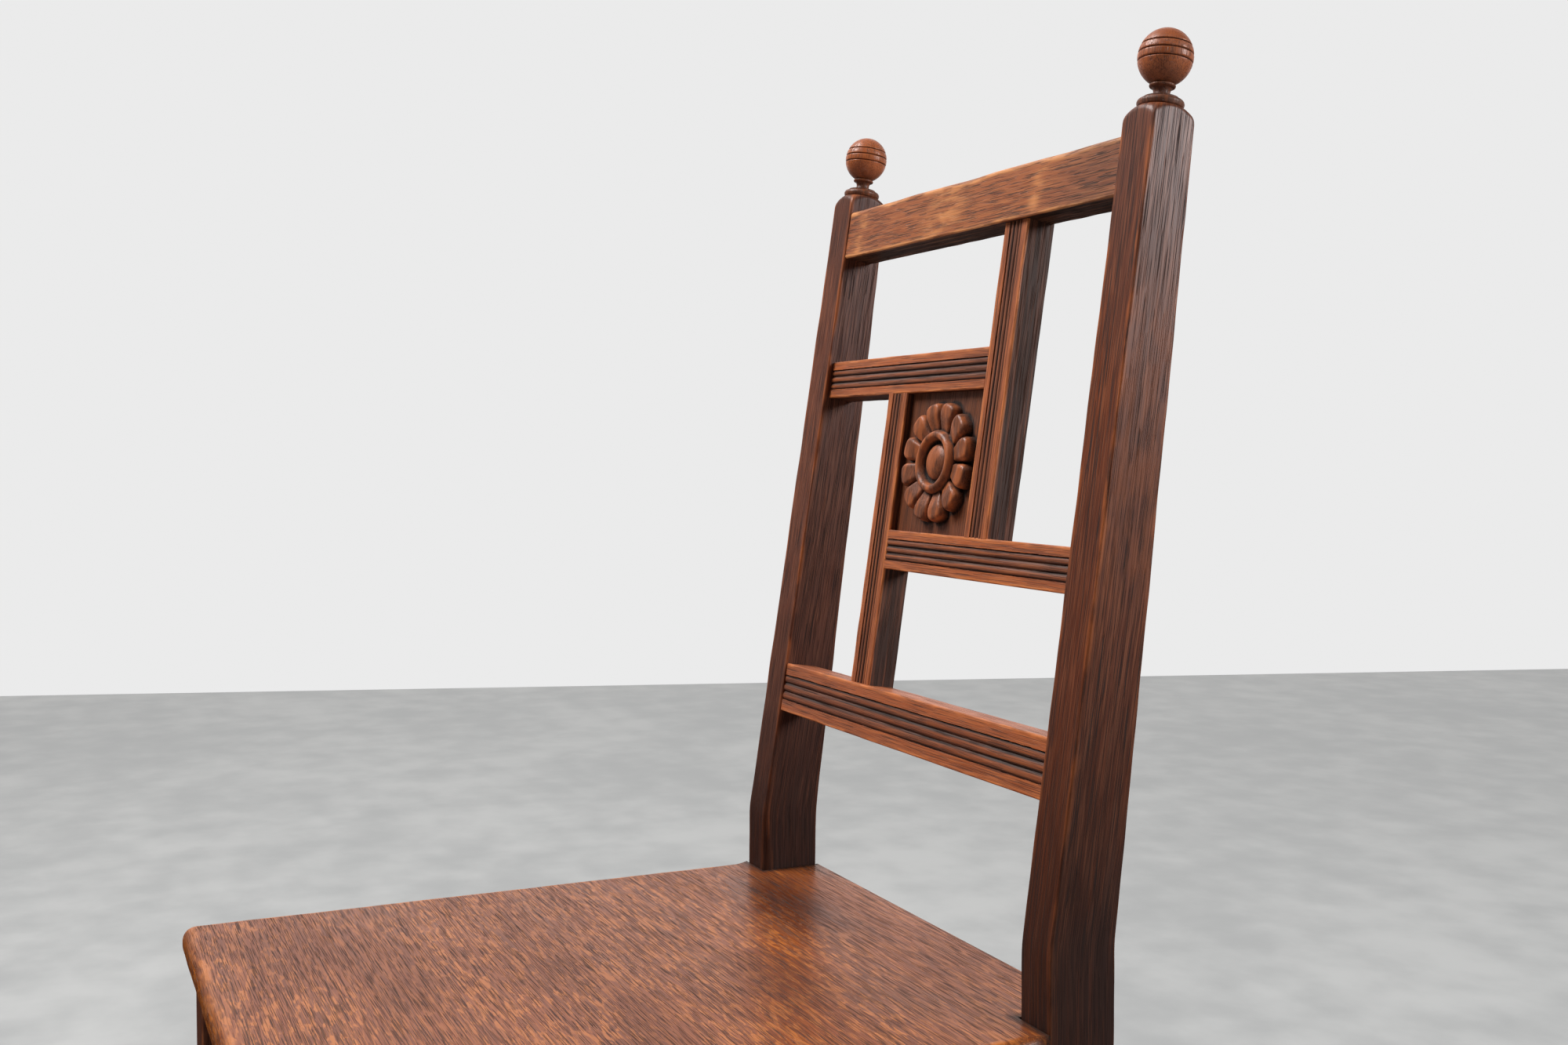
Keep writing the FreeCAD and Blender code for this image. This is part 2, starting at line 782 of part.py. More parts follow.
def posts():
    """The two back posts, domed on top and sawn off level with the floor."""
    far = d.seat_front_reach + d.seat_back_reach
    ground = box(floor, "ground", (-far, -far, -d.trim * 3), (far, far, 0))
    for side_name, side in SIDES.items():
        label = f"back_post_{side_name}"
        stock[label] = post_blank(label, side)
        mortises[label] += [ground, dome_cutter(label, side)]


def finials():
    """The two turned finials, each on a spigot in its post's top."""
    for side_name, side in SIDES.items():
        label = f"finial_{side_name}"
        frame = finial_frame(side)
        stock[label] = frame.place(turned(f"{label}_turning", finial_outline()))
        hole = doc.addObject("Part::Cylinder", f"{label}_hole")
        bind(hole, "Radius", d.spigot_radius + d.glue_gap)
        bind(hole, "Height", d.spigot_length + d.glue_gap + d.trim)
        mortises[f"back_post_{side_name}"].append(frame.place(hole, 0, 0, -d.spigot_length - d.glue_gap))


def front_legs():
    """The two front legs: square blocks at the joints, turned between and below."""
    half = d.leg_width / 2
    for side_name, side in SIDES.items():
        label = f"front_leg_{side_name}"
        middle = leg_middle * side
        stock[label] = floor.place(turned(f"{label}_turning", leg_outline()), middle, leg_front + half)
        blocks = {"top": (seat_under - d.leg_top_block, seat_under),
                  "low": (d.leg_low_block_base, d.leg_low_block_base + d.leg_low_block)}
        for name, (low, high) in blocks.items():
            corners = (middle - half, leg_front, low), (middle + half, leg_back, high)
            tenons[label].append(box(floor, f"{label}_{name}_block", *corners))


# Under the seat
rail_low = seat_under - d.seat_rail_height
rail_rear_x = post_centre(rail_low + d.seat_rail_height / 2)
rail_setback = (d.post_depth - d.seat_rail_thickness) / 2


def mirrored(outline, side):
    """A plan of straight runs on one side of the chair, drawn anticlockwise."""
    if side > 0:
        return outline
    return [(-as_size(x), y) for x, y in reversed(outline)]


def side_plan(thickness, rear_x, rear_y):
    """Plan of a member from a front leg's back face to the middle of a post, right side."""
    half = thickness / 2
    return [(leg_middle - half, leg_back), (leg_middle + half, leg_back),
            (rear_x + half, rear_y), (rear_x - half, rear_y)]


def join_side_member(label, side_name, up, rear_x, rear_y):
    """Joins both ends of a side rail or stretcher: into the front leg and into the post."""
    half = d.tenon_thickness / 2
    side = SIDES[side_name]
    ends = {f"front_leg_{side_name}": (leg_middle, leg_back - leg_tenon, leg_back + d.trim),
            f"back_post_{side_name}": (rear_x, rear_y - d.trim, rear_y + side_tenon)}
    for taker, (middle, start, end) in ends.items():
        low, high = (middle * side - half, start, up[0]), (middle * side + half, end, up[1])
        join(label, taker, floor, low, high)


def side_seat_rails():
    """The side seat rails, from the front legs to the posts' front faces."""
    plan = side_plan(d.seat_rail_thickness, rail_rear_x, as_size(0))
    for side_name, side in SIDES.items():
        label = f"side_seat_rail_{side_name}"
        rail = padded(f"{label}_blank", "XY_Plane", mirrored(plan, side), d.seat_rail_height)
        stock[label] = floor.place(rail, 0, 0, rail_low)
        join_side_member(label, side_name, shouldered(rail_low, seat_under), rail_rear_x, as_size(0))


def front_seat_rail():
    """The front seat rail, between the front legs."""
    label = "front_seat_rail"
    inside = leg_middle - d.leg_width / 2
    front = leg_front + (d.leg_width - d.seat_rail_thickness) / 2
    low, high = (-inside, front, rail_low), (inside, front + d.seat_rail_thickness, seat_under)
    stock[label] = box(floor, "front_seat_rail_blank", low, high)
    across = middle_tenon(leg_front, d.leg_width)
    up = shouldered(rail_low, seat_under)
    for side_name, side in SIDES.items():
        x_low, x_high = between(side, inside - d.trim, inside + leg_tenon)
        join(label, f"front_leg_{side_name}", floor, (x_low, across[0], up[0]), (x_high, across[1], up[1]))


def level_section(thickness, height):
    """Plain rectangular section as (depth, height)."""
    return [(0, 0), (thickness, 0), (thickness, height), (0, height)]


def back_members():
    """The back seat rail and the back stretcher, post to post."""
    reach = post_spread
    middle = d.back_stretcher_base + d.stretcher_height / 2
    leg_share = middle / (d.seat_height - d.knee_drop)
    leg_depth = d.foot_depth + (d.post_depth - d.foot_depth) * leg_share
    stretcher_depth = rear_leg_front(middle) + (leg_depth - d.stretcher_thickness) / 2
    places = {
        "back_seat_rail": (d.seat_rail_thickness, d.seat_rail_height, rail_low, rail_setback),
        "back_stretcher": (d.stretcher_thickness, d.stretcher_height, d.back_stretcher_base,
                           stretcher_depth),
    }
    for label, (thickness, height, low, depth) in places.items():
        fitted_rail(label, level_section(thickness, height), -reach, reach, floor, depth, low)
        for side_name in SIDES:
            join_post(label, side_name, floor, low + height / 2, middle_tenon(depth, thickness),
                      shouldered(low, low + height))


def side_stretchers():
    """The side stretchers, sawn to the slope of the rear legs they run into."""
    low = d.side_stretcher_base
    middle = low + d.stretcher_height / 2
    rear_x = post_centre(middle)
    plan = side_plan(d.stretcher_thickness, rear_x, rear_leg_front(middle) + d.foot_depth / 2)
    for side_name, side in SIDES.items():
        label = f"side_stretcher_{side_name}"
        blank = padded(f"{label}_blank", "XY_Plane", mirrored(plan, side), d.stretcher_height)
        floor.place(blank, 0, 0, low)
        stock[label] = combine("Cut", f"{label}_sawn", blank, [stock[f"back_post_{side_name}"]])
        join_side_member(label, side_name, shouldered(low, low + d.stretcher_height), rear_x,
                         rear_leg_front(middle))


def cross_stretcher():
    """The cross stretcher, between the side stretchers."""
    label = "cross_stretcher"
    low = d.side_stretcher_base
    high = low + d.stretcher_height
    rear_y = rear_leg_front(low + d.stretcher_height / 2) + d.foot_depth / 2
    along = leg_back + d.cross_stretcher_setback
    splay = (post_centre(low + d.stretcher_height / 2) - leg_middle) / (rear_y - leg_back)
    middle_x = leg_middle + splay * (along - leg_back)
    half = d.stretcher_thickness / 2
    ends = (-middle_x, along - half, low), (middle_x, along + half, high)
    blank = box(floor, "cross_stretcher_blank", *ends)
    sides = [stock[f"side_stretcher_{side_name}"] for side_name in SIDES]
    stock[label] = combine("Cut", "cross_stretcher_sawn", blank, sides)
    inside = middle_x - half
    across = middle_tenon(along - half, d.stretcher_thickness)
    up = shouldered(low, high)
    for side_name, side in SIDES.items():
        tip = inside + d.stretcher_thickness - d.mortise_floor
        x_low, x_high = between(side, inside - d.trim, tip)
        low_corner, high_corner = (x_low, across[0], up[0]), (x_high, across[1], up[1])
        join(label, f"side_stretcher_{side_name}", floor, low_corner, high_corner)


# Seat and its fixings
def seat_board():
    """The board seat, rounded at its front corners and upper edge, notched round the posts."""
    half_front = d.seat_front_width / 2
    half_back = post_spread / 2
    front, rear = -d.seat_front_reach, d.seat_back_reach
    plan = [(-half_front, front), (half_front, front), (half_back, rear), (-half_back, rear)]
    board = padded("seat_board_blank", "XY_Plane", plan, d.seat_thickness)
    top = d.seat_thickness.value

    def at_front_corner(edge):
        ends = edge.Vertexes
        return all(abs(end.Y - front.value) < 0.01 for end in ends) and abs(ends[0].Z - ends[1].Z) > 1

    def on_upper_rim(edge):
        ends = edge.Vertexes
        on_top = all(abs(end.Z - top) < 0.01 for end in ends)
        return on_top and any(abs(end.Y - rear.value) > 0.01 for end in ends)

    rounded(board, at_front_corner, d.seat_corner_radius)
    rounded(board, on_upper_rim, d.seat_edge_round)
    stock["seat_board"] = floor.place(board, 0, 0, seat_under)
    for side_name, side in SIDES.items():
        x_low, x_high = between(side, -d.post_width / 2 - d.seat_gap, d.post_width / 2 + d.trim)
        low = (x_low, -d.seat_gap, -d.seat_thickness - d.trim)
        high = (x_high, d.post_depth + d.trim, d.trim)
        mortises["seat_board"].append(box(post_frame(side), f"post_notch_{side_name}", low, high))


def rail_inside(y):
    """Distance of a side seat rail's inner face from the chair's middle, at a depth y."""
    skew = (rail_rear_x - leg_middle) / -leg_back
    return leg_middle - d.seat_rail_thickness / 2 + skew * (y - leg_back)


def screw_outline(gap):
    """Profile of a countersunk screw, head down, or of its hole with a gap."""
    length = d.block_height + d.screw_bite + gap
    return [
        (0, -gap),
        (d.screw_head_radius + gap, -gap),
        (d.screw_radius + gap, d.screw_head_height),
        (d.screw_radius + gap, length - d.screw_radius),
        (0, length),
    ]


def corner_block(label, side, near, corner_y, inwards):
    """A glue block across one corner under the seat, and the screw that goes up through it.

    near is how far the block stands off the corner of the two rails, corner_y the face of
    the front or back rail, and inwards the way from that face into the chair.
    """
    far = near + d.block_width
    corner_x = rail_inside(corner_y)
    close_y, distant_y = corner_y + near * inwards, corner_y + far * inwards
    plan = [(corner_x - far, corner_y), (corner_x - near, corner_y),
            (rail_inside(close_y), close_y), (rail_inside(distant_y), distant_y)]
    if inwards < 0:
        plan.reverse()
    base = seat_under - d.block_height
    block = padded(f"{label}_blank", "XY_Plane", mirrored(plan, side), d.block_height)
    stock[label] = floor.place(block, 0, 0, base)
    middle = (near + far) / 4
    spot = ((corner_x - middle) * side, corner_y + middle * inwards, base)
    hole = floor.place(turned(f"{label}_screw_hole", screw_outline(d.glue_gap)), *spot)
    mortises[label].append(hole)
    mortises["seat_board"].append(hole)
    return floor.place(turned(f"{label}_screw", screw_outline(as_size(0))), *spot)


def corner_blocks():
    """The four glue blocks and the screws that hold the seat down."""
    front_face = leg_front + (d.leg_width + d.seat_rail_thickness) / 2
    front_near = d.leg_width - d.seat_rail_thickness + d.block_clear
    rear_near = (d.post_width - d.seat_rail_thickness) / 2 + rail_setback + d.block_clear
    screws = []
    for side_name, side in SIDES.items():
        screws.append(corner_block(f"corner_block_front_{side_name}", side, front_near, front_face, 1))
        screws.append(corner_block(f"corner_block_back_{side_name}", side, rear_near, rail_setback, -1))
    group = doc.addObject("Part::Compound", "seat_screws_group")
    group.Links = screws
    stock["seat_screws"] = group


def assemble():
    """Each piece from its stock, with its tenons fused on and its mortises cut."""
    made = []
    for label, wood in stock.items():
        if tenons[label]:
            wood = combine("Fuse", f"{label}_tenoned", wood, tenons[label])
        if mortises[label]:
            wood = combine("Cut", f"{label}_mortised", wood, mortises[label])
        wood.Label = label
        made.append(wood)
    doc.recompute()
    return made


def check(made):
    """Stops before anything is written if an object failed or a piece is not sound."""
    for thing in doc.Objects:
        if "Invalid" in thing.State or "Error" in thing.State:
            raise RuntimeError(f"{thing.Label} failed: {thing.State}")
    for thing in made:
        if thing.Shape.isNull() or not thing.Shape.isValid():
            raise RuntimeError(f"{thing.Label} has no sound shape")
        expected = len(thing.Links) if thing.TypeId == "Part::Compound" else 1
        if len(thing.Shape.Solids) != expected:
            raise RuntimeError(f"{thing.Label} has {len(thing.Shape.Solids)} solids")


def write(made):
    """One STEP file for each piece, named by its label."""
    os.makedirs("parts", exist_ok=True)
    for thing in made:
        thing.Shape.exportStep(f"parts/{thing.Label}.step")
        print(f"{thing.Label}: {thing.Shape.Volume / 1000:.1f} cm3")


space = inside_of_back()
posts()
outer_rails()
inner_rails()
muntins()
rosette_panel()
finials()
front_legs()
side_seat_rails()
front_seat_rail()
back_members()
side_stretchers()
cross_stretcher()
seat_board()
corner_blocks()
sub_parts = assemble()
check(sub_parts)
write(sub_parts)
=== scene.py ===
"""Looks of an oak side chair: every visible piece as worn, stained and waxed oak.

Frame: metres, origin on the floor under the middle of the chair, +X to the right seen from
the front, +Y to the back, +Z up.
"""
import logging
import math
from collections.abc import Sequence
from dataclasses import dataclass, field
from enum import Enum

import bpy
import numpy as np
from mathutils import Matrix


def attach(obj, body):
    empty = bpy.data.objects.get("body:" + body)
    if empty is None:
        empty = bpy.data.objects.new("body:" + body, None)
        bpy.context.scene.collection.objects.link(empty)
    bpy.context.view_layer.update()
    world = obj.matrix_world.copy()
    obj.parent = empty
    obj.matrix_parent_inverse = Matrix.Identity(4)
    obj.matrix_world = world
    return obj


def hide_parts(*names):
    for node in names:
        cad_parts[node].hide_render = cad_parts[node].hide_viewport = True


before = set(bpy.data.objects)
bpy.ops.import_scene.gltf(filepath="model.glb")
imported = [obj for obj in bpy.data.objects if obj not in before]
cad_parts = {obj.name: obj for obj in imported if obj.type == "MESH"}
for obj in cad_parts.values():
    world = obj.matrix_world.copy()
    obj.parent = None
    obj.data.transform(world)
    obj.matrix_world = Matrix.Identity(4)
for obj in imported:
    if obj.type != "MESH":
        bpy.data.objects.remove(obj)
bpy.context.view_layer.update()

log = logging.getLogger("side_chair")

Array = np.ndarray
Socket = bpy.types.NodeSocket
Triple = tuple[float, float, float]
Colour = Triple

FULL_TURN = 2.0 * math.pi
QUARTER_TURN = FULL_TURN / 4.0
EIGHTH_TURN = FULL_TURN / 8.0
SIDES = {"left": -1, "right": 1}
REEDS = 3
# How far pieces run into their neighbours so that no light shows, and the least radius drawn
TUCK = 0.0004
# Digits of a metre by which two places on an outline are told apart
PLACE_DIGITS = 6
# Edges that turn by more than this are drawn sharp
SHARP_ANGLE = math.radians(38)
# Seeds of the unevenness of the posts and the seat
SIDE_SEED = 3
SEAT_SEED = 5
# Half the span of the tree that boards are cut from
TREE_HALF = 3.0
# Lengths of the waves in hand-work
WAVE_LENGTHS = (0.025, 0.16)
# Painted shade and reflection of the left post on the seat beside its foot: a patch drawn out sideways
PAINTED_SHADE_MIDDLE = (-0.085, 0.133, 0.450)
PAINTED_SHADE_SQUEEZE = (0.34, 1.0, 1.0)
PAINTED_SHADE_REACH = 0.048


# Surfaces
@dataclass
class Shell:
    """A surface as whole arrays, with the marks that its finish reads.

    Attributes:
        places: Vertex places, one row each.
        faces: Arrays of vertex numbers, one face a row.
        grain: Each vertex in its own board: along the grain, across it and through it.
        wear: How rubbed each vertex is, 0 to 1; on the posts' outer sides it also holds a painted
            sheen.
        grime_and_shade: How much old dirt and polish each vertex holds, and how much painted shade, 0
            to 1.
    """

    places: Array
    faces: list[Array]
    grain: Array
    wear: Array
    grime_and_shade: Array

    def outward(self) -> "Shell":
        """Turns all faces round when the signed volume they close is negative.

        Returns:
            The same shell.
        """
        volume = 0.0
        for faces in self.faces:
            corners = self.places[faces]
            fans = np.cross(corners[:, 1:-1], corners[:, 2:])
            volume += float(np.einsum("ij,ikj->", corners[:, 0], fans))
        if volume < 0:
            self.faces = [faces[:, ::-1] for faces in self.faces]
        return self


def grid_faces(rows: int, columns: int, closed: bool) -> Array:
    """Quads of a grid of vertices.

    Args:
        rows: Number of rows.
        columns: Number of vertices in a row.
        closed: Whether each row runs round to its own start.

    Returns:
        Vertex numbers, four to a face.
    """
    numbers = np.arange(rows * columns).reshape(rows, columns)
    if closed:
        numbers = np.hstack([numbers, numbers[:, :1]])
    corners = numbers[:-1, :-1], numbers[:-1, 1:], numbers[1:, 1:], numbers[1:, :-1]
    return np.stack(corners, axis=-1).reshape(-1, 4)


def tube(places: Array, grain: Array, wear: Array, grime_and_shade: Array) -> Shell:
    """A closed tube: rows of rings, with a flat face over the first and the last ring.

    Args:
        places: Rings of places, as rows, vertices and x, y, z.
        grain: Grain places in the same layout.
        wear: Wear in rows and vertices, or anything that stretches to it.
        grime_and_shade: Dirt and painted shade in the same way.

    Returns:
        The closed shell.
    """
    rows, columns = places.shape[:2]
    numbers = np.arange(rows * columns).reshape(rows, columns)
    faces = [grid_faces(rows, columns, True), numbers[:1, ::-1], numbers[-1:]]
    marks = [np.broadcast_to(mark, (rows, columns)).ravel() for mark in (wear, grime_and_shade)]
    return Shell(places.reshape(-1, 3), faces, grain.reshape(-1, 3), *marks).outward()


def smooth_step(value: Array) -> Array:
    """Runs from 0 to 1 with level ends: 3 t squared less 2 t cubed, t held within 0 and 1."""
    held = np.clip(value, 0.0, 1.0)
    return held * held * (3.0 - 2.0 * held)


def eased(distance: Array, reach: float) -> Array:
    """A bend from 0 to the distance itself, rounded by a parabola within the reach of 0."""
    curve = (distance + reach) ** 2 / (4.0 * reach)
    return np.where(distance < -reach, 0.0, np.where(distance > reach, distance, curve))


def waver(along: Array, seed: int, waves: int = 7) -> Array:
    """Hand-work unevenness: a sum of sines of 25 to 160 mm with seeded phases, about -1 to 1.

    Args:
        along: Places along a bar.
        seed: Seed of its random draws.
        waves: Number of sines.

    Returns:
        The unevenness at each place.
    """
    rng = np.random.default_rng(seed)
    lengths = rng.uniform(*WAVE_LENGTHS, waves)
    phases = rng.uniform(0.0, FULL_TURN, waves)
    return np.sin(FULL_TURN * along[..., None] / lengths + phases).sum(-1) / math.sqrt(waves)


def wavering(sizes: Sequence[float], along: Array, share: float, seed: int) -> list[Array]:
    """Sizes that each waver by themselves along a bar, by a share of themselves."""
    return [size * (1.0 + share * waver(along, seed + n)) for n, size in enumerate(sizes)]


def rounded(place: Array, power: float = 2.0) -> Array:
    """A rounded top, 1 in the middle and 0 from 1 outwards: the root of 1 less place to a power."""
    return np.sqrt(np.maximum(1.0 - place**power, 0.0))


def blurred(values: Array, reach: int) -> Array:
    """Running mean over a reach of cells each way along every axis, taken twice, edges held.

    Args:
        values: Values on a line or a grid.
        reach: Cells each way.

    Returns:
        The means, in the same layout.
    """
    size = 2 * reach + 1
    for axis in list(range(values.ndim)) * 2:
        padding = [(reach + 1, reach) if n == axis else (0, 0) for n in range(values.ndim)]
        total = np.cumsum(np.pad(values, padding, mode="edge"), axis=axis)
        high = np.take(total, np.arange(size, total.shape[axis]), axis=axis)
        low = np.take(total, np.arange(0, total.shape[axis] - size), axis=axis)
        values = (high - low) / size
    return values


def profile(stops: Sequence[tuple[float, ...]], spacing: float) -> Array:
    """An outline of straight and round runs as points.

    A stop is (out, up) or (out, up, rise). A rise makes the run to the next stop an arc that
    stands that far off its chord, to the right of the way when positive: with c half the
    chord, its radius is (c squared + rise squared) / (2 rise).

    Args:
        stops: The stops in order.
        spacing: About how far apart the points lie.

    Returns:
        The points, one row each.
    """
    runs = []
    for start, end in zip(stops, stops[1:]):
        here, there = np.array(start[:2]), np.array(end[:2])
        chord = float(np.linalg.norm(there - here))
        steps = max(2, round(chord / spacing))
        share = np.linspace(0.0, 1.0, steps, endpoint=False)[:, None]
        points = here + (there - here) * share
        if len(start) > 2:
            rise, half = start[2], chord / 2.0
            radius = (half * half + rise * rise) / (2.0 * abs(rise))
            stand = np.sqrt(radius**2 - (half * (2.0 * share - 1.0)) ** 2) - (radius - abs(rise))
            way = (there - here) / chord
            points = points + np.array([way[1], -way[0]]) * stand * math.copysign(1.0, rise)
        runs.append(points)
    runs.append(np.array([stops[-1][:2]]))
    return np.vstack(runs)


def side_by_side(parts: Sequence[Array]) -> Array:
    """Arrays set side by side, each first stretched to the most stations among them."""
    stations = max(part.shape[0] for part in parts)
    return np.hstack([np.broadcast_to(part, (stations, part.shape[1])) for part in parts])


@dataclass
class Section:
    """The rounded oblong section of a bar, as vertices round it for every station along.

    Attributes:
        across: Places across the face, in stations and vertices.
        deep: Places behind the face, in the same layout.
        wear: Wear of each vertex round the section.
        front: Which vertices lie on the flat of the front face.
    """

    across: Array
    deep: Array
    wear: Array
    front: Array


@dataclass(frozen=True)
class Oblong:
    """How a rounded oblong section is made: four straight runs and four quarter circles.

    Attributes:
        front_points: Points on the front run.
        face_points: Points on each other run.
        arc_points: Steps in each quarter circle.
        rub: How far wear spreads from an arris.
        flat: How much of the face beside an arris is as worn as the arris.
        corner_wear: Wear of the arrises: front low, front high, back high, back low.
    """

    front_points: int = 16
    face_points: int = 14
    arc_points: int = 6
    rub: float = 0.0008
    flat: float = 0.0003
    corner_wear: tuple[float, float, float, float] = (1.0, 1.0, 0.3, 0.3)

    def faded(self, distance: Array) -> Array:
        """Wear at a distance from an arris, averaged along the bar."""
        return np.exp(-np.maximum(distance.mean(axis=0) - self.flat, 0.0) / self.rub)

    def section(self, width: Array | float, depth: Array | float,
                arrises: Sequence[Array | float]) -> Section:
        """Points of the section at every station.

        Each run's points gather towards its ends by half a cosine wave, and wear falls off
        from an arris as exp(-distance / rub).

        Args:
            width: Size across the face, one number or one for each station.
            depth: Size from front to back, likewise.
            arrises: Radii, likewise: front low, front high, back high, back low.

        Returns:
            The section at every station.
        """
        radii = [np.atleast_1d(radius)[:, None] for radius in arrises]
        width, depth = (np.atleast_1d(size)[:, None] for size in (width, depth))
        turn = np.linspace(0.0, QUARTER_TURN, self.arc_points + 1)[1:-1]
        ahead, aside = 1.0 - np.sin(turn), 1.0 - np.cos(turn)
        none_wide, none_deep = np.zeros_like(width), np.zeros_like(depth)
        corners = [(none_wide, none_deep), (width, none_deep), (width, depth), (none_wide, depth)]
        ways = [(1.0, 0.0), (0.0, 1.0), (-1.0, 0.0), (0.0, -1.0)]
        across, deep, wear, front = [], [], [], []
        for number, (way, here, there) in enumerate(zip(ways, corners, corners[1:] + corners[:1])):
            count = self.front_points if number == 0 else self.face_points
            share = (1.0 - np.cos(np.linspace(0.0, math.pi, count))) / 2.0
            near, far = radii[number], radii[(number + 1) % len(radii)]
            length = np.abs(there[0] - here[0]) + np.abs(there[1] - here[1])
            run = near + (length - near - far) * share
            start_wear, end_wear = self.corner_wear[number], self.corner_wear[(number + 1) % len(radii)]
            rubbed = [start_wear * self.faded(run - near), end_wear * self.faded(length - far - run)]
            across += [here[0] + way[0] * run, there[0] - far * (way[0] * ahead + way[1] * aside)]
            deep += [here[1] + way[1] * run, there[1] - far * (way[1] * ahead - way[0] * aside)]
            wear += [np.maximum(*rubbed), np.full(len(turn), end_wear)]
            front += [np.full(count, number == 0), np.full(len(turn), False)]
        return Section(side_by_side(across), side_by_side(deep),
                       np.concatenate(wear), np.concatenate(front))


# Finishes
class Slot(Enum):
    """The record's material slots."""

    POSTS = "oak_posts"
    TOP_RAIL = "oak_top_rail"
    REEDED = "oak_reeded"
    CARVED = "oak_carved"
    FINIALS = "oak_finials"
    SEAT = "oak_seat"
    LEGS = "oak_legs"
    UNDERFRAME = "oak_underframe"
    BLOCKS = "oak_blocks"
    SCREWS = "screw_steel"


class GrainSource(Enum):
    """Where a finish reads a point's place in its board."""

    BOARD = "grain"
    OBJECT = "Object"


@dataclass(frozen=True)
class Streaks:
    """Noise drawn out along a board, and the levels between which it shows.

    Attributes:
        cells: Cells a metre, along the board, across it and through it.
        detail: Layers of finer noise.
        wander: How far it strays from straight.
        low: Level where it starts to show.
        high: Level where it shows in full.
    """

    cells: Triple
    detail: float = 2.0
    wander: float = 0.0
    low: float = 0.0
    high: float = 1.0


# Levels of the drift between which the wax goes from dull to bright
WAX_LEVELS = (0.3, 0.7)
# Noise of the oak, the screws and the floor
GROWTH = Streaks((4.0, 150.0, 150.0), 3.0, 0.3, 0.36, 0.62)
FIBRES = Streaks((30.0, 1300.0, 1300.0), low=0.45, high=0.65)
DRIFT = Streaks((6.0, 16.0, 16.0), low=0.3, high=0.55)
RUBBING = Streaks((40.0, 160.0, 160.0), 3.0, low=0.38, high=0.62)
DIRT_AND_SHADE = Streaks((14.0, 420.0, 420.0), low=0.3, high=0.6)
PORE_ROWS = Streaks((7.0, 260.0, 260.0), 1.0)
FLAKES = Streaks((75.0, 330.0, 330.0), wander=0.5, low=0.5, high=0.62)
FLAKE_PATCHES = Streaks((2.0, 13.0, 13.0), 1.0, low=0.35, high=0.6)
RUST = Streaks((900.0, 900.0, 900.0), 4.0, low=0.48, high=0.64)
FLOOR_CLOUDS = Streaks((1.6, 1.6, 1.6), 4.0)
FLOOR_SPECKS = Streaks((9.0, 9.0, 9.0), 6.0)


